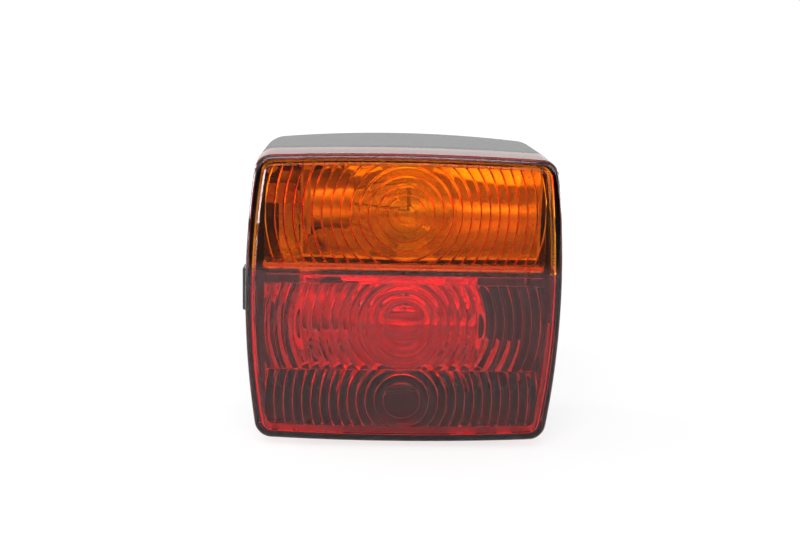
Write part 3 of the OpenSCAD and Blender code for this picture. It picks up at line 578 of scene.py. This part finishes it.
def lens_solid():
    """The whole lens as one closed solid, both colours together."""
    rim_turn = np.radians(np.arange(0, 91, 9))
    land = LAMP_D - PANEL_RISE
    outside = [(joint_outline(0.15), JOINT), (joint_outline(0.0), JOINT + 0.15)]
    outside += [
        (joint_outline(DRAFT + RIM * (1 - np.cos(t))), land - RIM + RIM * np.sin(t)) for t in rim_turn
    ]
    outside += [(joint_outline(PANEL_INSET - PANEL_RISE), land), (joint_outline(PANEL_INSET), LAMP_D)]
    inside = [
        (joint_outline(0.15), JOINT),
        (joint_outline(WALL), JOINT),
        (joint_outline(WALL + DRAFT), SKIN - 1),
        (joint_outline(WALL + DRAFT + 0.25), SKIN - 0.3),
        (joint_outline(WALL + DRAFT + 0.8), SKIN),
    ]
    fields = [
        ring_field(AMBER_Z, SEAM_Z + 2.5, BEYOND, 0),
        ring_field(STOP_Z, SPLIT_Z + 0.06, SEAM_Z - 4.5, 2, True),
        ring_field(TAIL_Z, -BEYOND, SPLIT_Z - 0.06, 2, True),
    ]
    ribs = [rib(-45, 45, LONG_TIP, SEAM_Z - 1.7, SEAM_Z - 0.2)]
    for side in (-1, 1):
        x0, x1 = sorted((side * SHORT_X0, side * SHORT_X1))
        ribs.append(rib(x0, x1, SHORT_TIP, SEAM_Z + 0.05, SEAM_Z + 2.4))
        ribs.append(rib(x0, x1, SHORT_TIP, SEAM_Z - 4.4, SEAM_Z - 1.75))
    outer, inner = loft(outside), loft(inside)
    grids = [(outer, True), (inner, True)]
    grids += [(grid, True) for grid, _ in fields] + [(sides, True) for sides, _, _ in ribs]
    feet = [foot for _, foot in fields] + [foot for _, _, foot in ribs]
    flats = [[outer[-1]], [inner[-1]] + feet] + [end for _, end, _ in ribs]
    return grids_to_mesh(grids, flats)


whole = lens_solid()
print("open edges in the whole lens", sum(e.is_boundary for e in whole.edges))

# %% [markdown]
# The real lens is moulded in two shots, amber on red. Here the finished solid is cut at the colour seam, with
# a hair of air between the halves, because two refracting skins in the same place would fight.

# %% Amber and red moulding
SEAM_GAP = 0.01


def cut_at_seam(mesh, keep_above):
    """Keeps the part above or below the seam and closes the cut with a flat face."""
    part = mesh.copy()
    level = SEAM_Z + (SEAM_GAP if keep_above else -SEAM_GAP)
    cut = bmesh.ops.bisect_plane(
        part,
        geom=part.verts[:] + part.edges[:] + part.faces[:],
        plane_co=(0, 0, level * MM),
        plane_no=(0, 0, 1),
        clear_inner=keep_above,
        clear_outer=not keep_above,
    )
    rim = [g for g in cut["geom_cut"] if isinstance(g, bmesh.types.BMEdge)]
    bmesh.ops.triangle_fill(part, use_beauty=True, use_dissolve=False, edges=rim)
    weld(part, 0.001)
    return part


amber_lens = make_piece("lens_amber_moulding", cut_at_seam(whole, True), amber_acrylic, 14)
red_lens = make_piece("lens_red_moulding", cut_at_seam(whole, False), red_acrylic, 14)
whole.free()
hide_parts("lens_amber")
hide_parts("lens_red")

# %% [markdown]
# ## The housing
#
# The black shell is a loft from the taller, rounder rear outline to the joint, with a small radius at the
# back's edge. A lip inside the ledge holds the lens in place. Round holes in the back take the two bolts and
# the cable grommet, and blocks on both sides are the catches. A loft is used and not a scaled box, because
# the rear and the joint bow by different amounts.


# %% Turned and blocky helpers
def circle(x, z, radius, depth, steps):
    """A closed ring of points about a line along Y."""
    t = np.linspace(0, 2 * np.pi, steps, endpoint=False)
    return place(x + radius * np.cos(t), depth, z + radius * np.sin(t))


def turned_y(x, z, profile, steps=64):
    """A grid from a profile of (radius, depth) turned about a line along Y."""
    return np.stack([circle(x, z, r, d, steps) for r, d in profile])


def rounded_block(lo, hi, radius):
    """A box with bevelled edges, as a bmesh in metres."""
    block = bmesh.new()
    size = (np.array(hi) - lo) * MM
    middle = (np.array(hi) + lo) / 2 * MM
    bmesh.ops.create_cube(block, size=1, matrix=Matrix.Translation(middle) @ Matrix.Diagonal((*size, 1)))
    bmesh.ops.bevel(block, geom=block.edges[:], offset=radius * MM, segments=3, profile=0.5, affect="EDGES")
    return block


def join_into(mesh, other):
    """Adds another bmesh's points and faces to this one."""
    data = bpy.data.meshes.new("joined")
    other.to_mesh(data)
    other.free()
    mesh.from_mesh(data)
    bpy.data.meshes.remove(data)


# %% Housing shell
LEDGE, LIP_TOP, BACK, BOLT_X = 35.4, 39.0, 2.5, 22.5
INLET = (9.0, -25.0)


def housing_mesh():
    """The shell with its lip and holes as one closed surface, with bosses, catches and tongues added."""
    shell = [(rear_outline(0.7), 0.0), (rear_outline(0.2), 0.2), (between(0, 0.7), 0.7)]
    shell += [(between(0, d), d) for d in np.linspace(5, 34.9, 7)]
    shell += [
        (between(0.12, LEDGE - 0.12), LEDGE - 0.12),
        (between(0.4, LEDGE), LEDGE),
        (joint_outline(2.0), LEDGE),
        (joint_outline(2.05), LIP_TOP - 0.3),
        (joint_outline(2.3), LIP_TOP),
        (joint_outline(3.0), LIP_TOP),
        (joint_outline(3.2), LIP_TOP - 0.3),
        (between(3.2, LEDGE), LEDGE),
        (between(3.2, BACK + 0.5), BACK + 0.5),
        (between(3.7, BACK), BACK),
    ]
    body = loft(shell)
    holes = [turned_y(x, 0, [(3.0, 0), (3.0, BACK)]) for x in (-BOLT_X, BOLT_X)]
    inlet = turned_y(*INLET, [(9.0, 0), (9.0, 1.0), (6.0, 1.0), (6.0, BACK)])
    rear = [body[0]] + [h[0] for h in holes] + [inlet[0]]
    floor = [body[-1]] + [h[-1] for h in holes] + [inlet[-1]]
    mesh = grids_to_mesh([(body, True), (inlet, True)] + [(h, True) for h in holes], [rear, floor])
    # Each boss is its place, its outer and bore radius and its top: four for screws and two for bolts.
    bosses = [(x, z, 4.0, 1.6, 6.4) for x in (-39.5, 39.5) for z in (-37.0, 37.0)]
    bosses += [(x, 0.0, 6.5, 4.7, 6.0) for x in (-BOLT_X, BOLT_X)]
    foot = BACK - 0.2
    for x, z, outer, bore, top in bosses:
        tube = [(bore, foot), (bore, top - 0.2), (bore + 0.2, top), (outer - 0.3, top), (outer, top - 0.3)]
        tube += [(outer, foot), (bore, foot)]
        join_into(mesh, grids_to_mesh([(turned_y(x, z, tube, 48), True)]))
    # On each side: the lug outside, the tongue that reaches into the lens, and the tongue's hook.
    for side in (-1, 1):
        x0, x1 = sorted((side * 49.4, side * 54.0))
        join_into(mesh, rounded_block((x0, -LEDGE, -7.8), (x1, -27.4, 6.8), 0.5))
        x0, x1 = sorted((side * 48.0, side * 49.6))
        join_into(mesh, rounded_block((x0, -46.9, -7.8), (x1, -34.0, 6.8), 0.25))
        x0, x1 = sorted((side * 49.3, side * 50.1))
        join_into(mesh, rounded_block((x0, -46.0, -4.5), (x1, -43.4, 3.5), 0.2))
    return mesh


housing = make_piece("housing_shell", housing_mesh(), housing_abs, 35)
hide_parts("housing")

# %% [markdown]
# ## Mounting bolts
#
# Two M5 bolts stand out of the back. A thread is a helix: at depth d and angle t the surface is at the phase
# d / pitch - t / turn, and its radius falls from the crest to the root and back along a triangle. A stack of
# plain grooves would look much the same, but it would not be a thread. The plain neck fills the hole in the
# back, and the head sits in a boss inside.

# %% Threaded bolts
BOLT_R, BOLT_OUT, THREAD_PITCH, THREAD_D = 2.5, 18.0, 0.8, 0.42
NECK_R, NECK_END, HEAD_R, HEAD_H = 2.9, 2.9, 4.6, 3.3


def threaded_bolt(x):
    """One closed surface of revolution with a helical thread, and a six-sided head with a small chamfer."""
    t = np.linspace(0, 2 * np.pi, 32, endpoint=False)[None]
    depth = np.arange(-BOLT_OUT, -0.4, THREAD_PITCH / 6)[:, None]
    phase = np.mod(depth / THREAD_PITCH - t / (2 * np.pi), 1)
    # The thread runs out over one pitch and stops 0.8 mm short of the back. The tip is chamfered to a
    # radius of 2 mm.
    fade = np.clip((-0.8 - depth) / THREAD_PITCH, 0, 1)
    radius = BOLT_R - THREAD_D * fade * np.clip(1.25 - 2.5 * np.abs(phase - 0.5), 0, 1)
    radius = np.minimum(radius, 2.0 + (depth + BOLT_OUT))
    neck = [[0.0, -BOLT_OUT], [BOLT_R, -0.35], [BOLT_R, 0.0], [NECK_R, 0.0]]
    neck = np.array(neck + [[NECK_R, NECK_END], [0.0, NECK_END]])
    rows = np.concatenate([neck[:1, :1] + 0 * t, radius, neck[1:, :1] + 0 * t])
    depths = np.concatenate([neck[:1, 1:] + 0 * t, depth + 0 * t, neck[1:, 1:] + 0 * t])
    shank = place(x + rows * np.cos(t), depths, rows * np.sin(t)).reshape(*rows.shape, 3)
    head = [(0.0, BACK), (HEAD_R, BACK), (HEAD_R, BACK + HEAD_H - 0.3), (HEAD_R - 0.3, BACK + HEAD_H)]
    head.append((0.0, BACK + HEAD_H))
    bolt = grids_to_mesh([(shank, True)])
    join_into(bolt, grids_to_mesh([(turned_y(x, 0.0, head, 6), True)]))
    return bolt


bolts = threaded_bolt(-BOLT_X)
join_into(bolts, threaded_bolt(BOLT_X))
bolts = make_piece("mounting_bolts_threaded", bolts, zinc_plate)
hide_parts("mounting_bolts")

# %% [markdown]
# ## Bulbs
#
# Bulbs lie across the lamp, so everything on them turns about a line along X. Wire is a small circle carried
# along a path.


# %% Turned pieces and wire along a bulb's axis
def turned_x(z, profile, steps=72):
    """A grid from a profile of (radius, x) turned about the bulb's axis, a line along X at height z."""
    radius, x = np.array(profile).T[:, :, None]
    t = np.linspace(0, 2 * np.pi, steps, endpoint=False)[None]
    points = place(x + 0 * t, BULB_DEPTH + radius * np.cos(t), z + radius * np.sin(t))
    return points.reshape(len(profile), steps, 3)


def tube_along(path, radius, sides):
    """A closed tube along a path of points: at each point two directions square to the path carry a circle
    of the tube's radius; both ends close on the path itself."""
    path = np.asarray(path, float)
    along = np.gradient(path, axis=0)
    along /= np.linalg.norm(along, axis=1)[:, None]
    aid = np.where(np.abs(along[:, :1]) < 0.8, [[1.0, 0, 0]], [[0, 0, 1.0]])
    u = np.cross(along, aid)
    u /= np.linalg.norm(u, axis=1)[:, None]
    v = np.cross(along, u)
    t = np.linspace(0, 2 * np.pi, sides, endpoint=False)[None, :, None]
    ring = path[:, None] + radius * (np.cos(t) * u[:, None] + np.sin(t) * v[:, None])
    ends = np.repeat(path[[0, -1], None], sides, 1)
    ring = np.concatenate([ends[:1], ring, ends[1:]])
    return place(ring[..., 0], ring[..., 1], ring[..., 2]).reshape(*ring.shape)


# %% [markdown]
# Blown glass is a surface of revolution: a ball that runs into a neck. The profile goes out along the outer
# skin and back along the inner one, so the glass has its real wall and closes at the cap. The cap is one
# closed profile too, with a groove round it, and two pins lock it in the socket.

# %% Profiles of the large bulbs
def globe_profile(centre, radius, neck_r, neck_x, wall):
    """Outer skin from the neck's open end to the tip, then the inner skin back. Neck and ball join through
    a smooth step, a cosine ramp in the radius."""
    start = np.arcsin((neck_r + 1.2) / radius)  # the ball begins 1.2 mm outside the neck
    turn = np.linspace(np.pi - start, 0, 34)
    x = centre + radius * np.cos(turn)
    r = radius * np.sin(turn)
    ramp = np.linspace(0, 1, 10)[:-1]
    widening = (r[0] - neck_r) * (1 - np.cos(np.pi / 2 * ramp**2))
    neck = np.stack([neck_r + widening, neck_x + (x[0] - neck_x) * ramp], -1)
    outer = np.concatenate([neck, np.stack([r, x], -1)])
    shrink = (radius - wall) / radius
    inner = np.stack([np.maximum(outer[:, 0] * shrink, 0), centre + (outer[:, 1] - centre) * shrink], -1)
    inner[0, 1] = outer[0, 1]
    return np.concatenate([outer, inner[::-1], outer[:1]])


CAP_FRONT, CAP_BACK = -13.0, -24.5
GLOBE_X, GLOBE_R, GLASS_NECK_R, GLASS_END, GLASS_WALL = 2.0, 12.5, 7.0, -18.5, 0.5
COIL_R, COIL_LENGTH, COIL_TURNS, COIL_WIRE_R, LEAD_R = 0.5, 5.2, 13, 0.11, 0.3
PIN_X, PIN_R = -20, 0.95
cap_profile = [(7.0, CAP_FRONT), (7.25, CAP_FRONT - 0.05), (7.5, CAP_FRONT - 0.3), (7.5, CAP_FRONT - 1.6)]
cap_profile += [(7.3, CAP_FRONT - 1.9), (7.3, CAP_FRONT - 2.3), (7.5, CAP_FRONT - 2.6), (7.5, CAP_BACK + 0.6)]
cap_profile += [(7.3, CAP_BACK + 0.15), (7.0, CAP_BACK), (5.6, CAP_BACK), (5.6, CAP_BACK + 0.6)]
cap_profile += [(7.0, CAP_BACK + 0.6), (7.0, CAP_FRONT)]
profile = globe_profile(GLOBE_X, GLOBE_R, GLASS_NECK_R, GLASS_END, GLASS_WALL)
print("globe profile of", len(profile), "points")

# %% Indicator and stop bulbs
for kind, z in (("indicator", AMBER_Z), ("stop", STOP_Z)):
    globe = make_piece(kind + "_globe", grids_to_mesh([(turned_x(z, profile), True)]), clear_glass)
    cap = grids_to_mesh([(turned_x(z, cap_profile), True)])
    for side in (-1, 1):
        pin = [[PIN_X, BULB_DEPTH, z + side * s] for s in (7.1, 8.0, 8.6, 8.85)]
        join_into(cap, grids_to_mesh([(tube_along(pin, PIN_R, 20), True)]))
    cap = make_piece(kind + "_cap_nickel", cap, nickel)
    t = np.linspace(0, 1, 260)
    turn = 2 * np.pi * COIL_TURNS * t
    coil = [GLOBE_X + COIL_R * np.cos(turn), BULB_DEPTH + COIL_R * np.sin(turn), z + COIL_LENGTH * (t - 0.5)]
    wire = grids_to_mesh([(tube_along(np.stack(coil, -1), COIL_WIRE_R, 6), True)])
    for side in (-1, 1):
        lead = [(CAP_BACK + 1.7, 1.6), (-13.5, 1.6), (-9.0, 2.2), (-4.0, 2.6), (GLOBE_X + 0.3, 2.6)]
        lead = [[x, BULB_DEPTH, z + side * apart] for x, apart in lead]
        join_into(wire, grids_to_mesh([(tube_along(lead, LEAD_R, 10), True)]))
    wire = make_piece(kind + "_filament_coil", wire, tungsten)
    for piece, node, slot in (
        (globe, "_bulb_glass", "bulb_glass"),
        (cap, "_bulb_cap", "nickel_caps"),
        (wire, "_bulb_filament", "filament_wire"),
    ):
        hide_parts(kind + node)

# %% [markdown]
# The tail light is a festoon bulb: a glass tube between two pointed caps, with one long coil. The two halves
# are alike, so half a profile is worked out and mirrored.

# %% Festoon bulb
HALF, END_R, BULGE, FESTOON_WALL = 19.5, 3.95, 1.05, 0.5
FESTOON_COIL_R, FESTOON_TURNS, FESTOON_WIRE_R, FESTOON_LEAD_R = 0.28, 40, 0.09, 0.25
turn = np.linspace(0, np.pi / 2, 10)
tube = np.stack([END_R + BULGE * np.sin(turn), -HALF + 7.2 + 2.2 * (1 - np.cos(turn))], -1)
tube = np.concatenate([[[END_R, -HALF + 4.4]], tube])
tube = np.concatenate([tube, tube[::-1] * [1, -1]])
inner = tube - [FESTOON_WALL, 0]
festoon = turned_x(TAIL_Z, np.concatenate([tube, inner[::-1], tube[:1]]), 48)
festoon_glass = make_piece("festoon_tube", grids_to_mesh([(festoon, True)]), clear_glass)
tip = [(END_R, HALF - 7.3), (4.15, HALF - 7.35), (4.3, HALF - 7.1), (4.3, HALF - 3.2), (4.1, HALF - 2.9)]
tip += [(1.5, HALF - 0.35), (1.0, HALF - 0.05), (0.0, HALF), (0.0, HALF - 4.4)]
tip += [(END_R, HALF - 4.4), (END_R, HALF - 7.3)]
caps = grids_to_mesh([(turned_x(TAIL_Z, tip, 48), True)])
join_into(caps, grids_to_mesh([(turned_x(TAIL_Z, [(r, -x) for r, x in tip], 48), True)]))
festoon_caps = make_piece("festoon_caps_nickel", caps, nickel)
t = np.linspace(0, 1, 420)
turn = 2 * np.pi * FESTOON_TURNS * t
coil = [-13 + 26 * t, BULB_DEPTH + FESTOON_COIL_R * np.cos(turn), TAIL_Z + FESTOON_COIL_R * np.sin(turn)]
wire = grids_to_mesh([(tube_along(np.stack(coil, -1), FESTOON_WIRE_R, 5), True)])
for side in (-1, 1):
    lead = [[side * x, BULB_DEPTH, TAIL_Z + rise] for x, rise in ((15.2, 0), (14.0, 0), (12.9, 0.2))]
    join_into(wire, grids_to_mesh([(tube_along(lead, FESTOON_LEAD_R, 8), True)]))
festoon_wire = make_piece("festoon_filament_coil", wire, tungsten)
for piece, node, slot in (
    (festoon_glass, "tail_festoon_glass", "bulb_glass"),
    (festoon_caps, "tail_festoon_caps", "nickel_caps"),
    (festoon_wire, "tail_festoon_filament", "filament_wire"),
):
    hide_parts(node)

# %% [markdown]
# ## Reflectors
#
# Behind each large bulb lies a trough pressed from bright sheet, with ends that lean outward so that it
# leaves the press easily. A notch lets the socket through. It could be cut out with a boolean, but a few
# straight stretches and flat fills give cleaner edges, and every edge is shared by the faces beside it.
# The one behind the red ends sooner on the right: in the photo its bright field stops there.

# %% Pressed troughs
TROUGH_R, SHEET, FOOT, FRONT = 15.1, 0.8, 8.2, 44.0
END_LEFT, LEAN_LEFT, LEAN_RIGHT = -22.0, 11.0, 7.5
NOTCH, NOTCH_TOP, NOTCH_X = 10.2, 33.4, -21.0


def trough_section(inset):
    """Depth and height of the trough's section, in three stretches that part at the notch: an arc of the
    trough's radius about the bulb's axis, cut flat on the carrier, with straight walls to the front."""
    radius = TROUGH_R - inset
    part = np.arcsin(NOTCH / radius)
    bottom = np.linspace(-part, part, 41)
    side = np.linspace(part, np.pi / 2, 13)
    depth = lambda t: np.maximum(BULB_DEPTH - radius * np.cos(t), FOOT + inset)
    upper = np.r_[depth(side), FRONT], np.r_[radius * np.sin(side), radius]
    lower = upper[0][::-1], -upper[1][::-1]
    return lower, (depth(bottom), radius * np.sin(bottom)), upper


def trough_mesh(z, end_right):
    """The trough as two skins, four end faces, a front rim and the notch's edges."""
    grids, flats, rims = [], [], []
    for inset in (0.0, SHEET):
        sides = trough_section(inset)
        lean = lambda d: (d - FOOT) / (FRONT - FOOT)
        x_left = lambda d: END_LEFT + inset - LEAN_LEFT * lean(d)
        x_right = lambda d: end_right - inset + LEAN_RIGHT * lean(d)
        at = lambda x, d, h: place(x, d, z + np.asarray(h))
        for k, (d, h) in enumerate(sides):
            columns = [at(np.full_like(d, NOTCH_X), d, h), at(x_right(d), d, h)]
            if k != 1:
                columns.insert(0, at(x_left(d), d, h))
            grids.append((np.stack(columns, 1), False))
        lower, bottom, upper = sides
        d = np.concatenate([lower[0], bottom[0][1:-1], upper[0]])
        h = np.concatenate([lower[1], bottom[1][1:-1], upper[1]])
        flats.append([at(x_right(d), d, h)])
        d = np.concatenate([lower[0], [NOTCH_TOP, NOTCH_TOP], upper[0]])
        h = np.concatenate([lower[1], [-NOTCH, NOTCH], upper[1]])
        flats.append([at(x_left(d), d, h)])
        edge = np.array([x_left(FRONT), NOTCH_X, x_right(FRONT)])
        wide = TROUGH_R - inset
        rims.append(np.concatenate([at(edge, FRONT, wide), at(edge[::-1], FRONT, -wide)]))
        d_notch = upper[0][0]
        cut = at([NOTCH_X, x_left(d_notch), x_left(NOTCH_TOP)], [d_notch, d_notch, NOTCH_TOP], NOTCH)
        rims.append((cut, at(NOTCH_X, *bottom)))
    flats.append([rims[0], rims[2]])
    for flip in (1, -1):
        mirror = lambda p: (p - [0, 0, z * MM]) * [1, 1, flip] + [0, 0, z * MM]
        flats.append([np.concatenate([mirror(rims[1][0]), mirror(rims[3][0])[::-1]])])
    # The notch's upper edge runs from its highest point to the same point under the bulb's axis.
    corners = np.stack([rims[1][0][-1], rims[3][0][-1]])
    top_edge = np.stack([corners, corners * [1, 1, 0] + [0, 0, (z - NOTCH) * MM]], 1)
    grids += [(np.stack([rims[1][1], rims[3][1]]), False), (top_edge, False)]
    return grids_to_mesh(grids, flats)


for name, z, end_right, finish in (
    ("indicator_reflector", AMBER_Z, 36.0, satin_aluminium),
    ("stop_reflector", STOP_Z, 17.0, bright_aluminium),
):
    trough = make_piece(name + "_pressed", trough_mesh(z, end_right), finish)
    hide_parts(name)

# %% [markdown]
# ## What the CAD model already gives
#
# Flat sheet parts, rivets, screws and the carrier have their right shape in the CAD model. They only get
# their finish.

# %% Finishes of the CAD nodes
finishes = {
    "lens_gasket": gasket_rubber,
    "bulb_carrier": carrier_abs,
    "carrier_screws": zinc_plate,
    "reflector_rivets": rivet_aluminium,
    "earth_strip": tinned,
    "supply_strip": tinned,
    "strip_rivets": rivet_aluminium,
    "indicator_socket": zinc_plate,
    "indicator_contact_bush": phenolic,
    "indicator_contact_pin": brass,
    "indicator_contact_leaf": brass,
    "indicator_bulb_insulator": black_glass,
    "indicator_bulb_contact": solder,
    "stop_socket": zinc_plate,
    "stop_contact_bush": phenolic,
    "stop_contact_pin": brass,
    "stop_contact_leaf": brass,
    "stop_bulb_insulator": black_glass,
    "stop_bulb_contact": solder,
    "festoon_clips": brass,
    "terminal_screws": brass,
    "cable_grommet": gasket_rubber,
}
for node, finish in finishes.items():
    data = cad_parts[node].data
    data.materials.clear()
    data.materials.append(finish)
print(len(finishes), "CAD nodes finished")

# %% [markdown]
# ## Floor, backdrop and light
#
# The studio is white all round, and white paper lies under the lamp. One diffuse shader on the floor would
# do for a matt object. This one is clear, and its lens mirrors and bends the floor into view, so the paper
# answers by the kind of ray that meets it. To the camera it is white with a light shadow. A mirror or a clear
# body sees it a little darker, and past 0.36 m in front it sees the dark end of the room, which keeps the
# amber front clean. To all other rays it is matt paper. To the camera the glow grows from 0.76 beside the
# lamp to 1 at 0.7 m, which leaves the shadow soft and the far paper white.

# %% Floor
FLOOR_Z, SPAN = -REAR_H / 2 * MM, 3.0


def seen_directly(tree):
    """One for rays from the camera, a mirror or a clear body, and zero for all others."""
    path = add(tree, "ShaderNodeLightPath")
    seen = path.outputs["Is Camera Ray"]
    for kind in ("Is Glossy Ray", "Is Transmission Ray"):
        either = add(tree, "ShaderNodeMath", {"operation": "MAXIMUM"}, _0=seen, _1=path.outputs[kind])
        seen = either.outputs[0]
    return seen


corners = [(-SPAN, -SPAN), (SPAN, -SPAN), (SPAN, SPAN), (-SPAN, SPAN)]
floor_data = bpy.data.meshes.new("floor")
floor_data.from_pydata([(x, y, FLOOR_Z) for x, y in corners], [], [(0, 1, 2, 3)])
floor = bpy.data.objects.new("floor", floor_data)
bpy.context.scene.collection.objects.link(floor)
floor_paper, tree = new_material("paper_white_matt")
matt = add(tree, "ShaderNodeBsdfDiffuse", Color=(0.8, 0.8, 0.8, 1))
shade = add(tree, "ShaderNodeBsdfDiffuse", Color=(0.25, 0.25, 0.25, 1))
place_on = add(tree, "ShaderNodeTexCoord")
away = add(tree, "ShaderNodeVectorMath", {"operation": "LENGTH"}, _0=place_on.outputs["Object"])
level = add(
    tree,
    "ShaderNodeMapRange",
    Value=away.outputs["Value"],
    From_Min=0.1,
    From_Max=0.7,
    To_Min=0.76,
    To_Max=1.0,
)
glow = add(tree, "ShaderNodeEmission", Color=(1, 1, 1, 1), Strength=level.outputs["Result"])
to_camera = add(tree, "ShaderNodeAddShader", _0=shade.outputs[0], _1=glow.outputs[0])
split = add(tree, "ShaderNodeSeparateXYZ", Vector=place_on.outputs["Object"])
near = add(
    tree,
    "ShaderNodeMapRange",
    Value=split.outputs["Y"],
    From_Min=-0.38,
    From_Max=-0.34,
    To_Min=0.12,
    To_Max=0.8,
)
mirrored = add(tree, "ShaderNodeBsdfDiffuse", Color=near.outputs["Result"])
dim_glow = add(tree, "ShaderNodeEmission", Color=near.outputs["Result"], Strength=0.16)
to_glass = add(tree, "ShaderNodeAddShader", _0=mirrored.outputs[0], _1=dim_glow.outputs[0])
other = add(tree, "ShaderNodeMixShader", _0=seen_directly(tree), _1=matt.outputs[0], _2=to_glass.outputs[0])
is_camera = add(tree, "ShaderNodeLightPath").outputs["Is Camera Ray"]
mix = add(tree, "ShaderNodeMixShader", _0=is_camera, _1=other.outputs[0], _2=to_camera.outputs[0])
finish_material(tree, mix.outputs[0])
floor_data.materials.append(floor_paper)
print("floor at z", round(FLOOR_Z, 4), "m")

# %% [markdown]
# The world is white at full strength to the camera, to mirrors and to glass, and a quarter as strong as a
# fill for matt surfaces. Six soft lamps do the rest: the key stands in front and above, a low one at the
# right front opens the dark side, one at each side lights the lens's rim from its edge, one behind lights
# the housing's top, and a narrow strip at the left front draws a thin line. Light gets inside the lens only
# along rays that the plastic bends, so the main lamps are large enough for such a ray to meet them by chance.

# %% World and lamps
FILL = 0.25
world = bpy.data.worlds.new("studio")
bpy.context.scene.world = world
world.use_nodes = True
tree = world.node_tree
tree.nodes.clear()
fill = add(tree, "ShaderNodeBackground", Color=(1, 1, 1, 1), Strength=FILL)
white = add(tree, "ShaderNodeBackground", Color=(1, 1, 1, 1), Strength=1.0)
mix = add(tree, "ShaderNodeMixShader", _0=seen_directly(tree), _1=fill.outputs[0], _2=white.outputs[0])
add(tree, "ShaderNodeOutputWorld", Surface=mix.outputs[0])


def softbox(name, where, target, size, watts):
    """A rectangular lamp at one point that faces another."""
    light = bpy.data.lights.new(name, "AREA")
    light.shape = "RECTANGLE"
    light.size, light.size_y = size
    light.energy = watts
    lamp = bpy.data.objects.new(name, light)
    bpy.context.scene.collection.objects.link(lamp)
    away = np.array(where, float) - target
    away /= np.linalg.norm(away)
    side = np.cross([0, 0, 1], away)
    side /= np.linalg.norm(side)
    rise = np.cross(away, side)
    lamp.matrix_world = Matrix([[side[i], rise[i], away[i], where[i]] for i in range(3)] + [[0, 0, 0, 1]])


softbox("key_front_above", (-0.12, -0.72, 0.62), (0, 0, 0), (0.7, 0.5), 6.4)
softbox("front_right", (0.55, -0.65, 0.3), (0, 0, 0), (0.4, 0.4), 1.5)
softbox("side_left", (-0.76, 0.1, 0.12), (0, -0.03, 0.01), (0.5, 0.3), 6.0)
softbox("side_right", (0.72, 0.3, 0.12), (0, -0.03, 0), (0.3, 0.3), 2.0)
softbox("top_behind", (0.0, 0.75, 0.5), (0, 0, 0), (0.9, 0.35), 1.8)
softbox("strip_front_left", (-0.3, -0.85, 0.25), (0, -0.03, 0), (0.03, 0.4), 0.4)
print(len(bpy.data.lights), "lamps set")
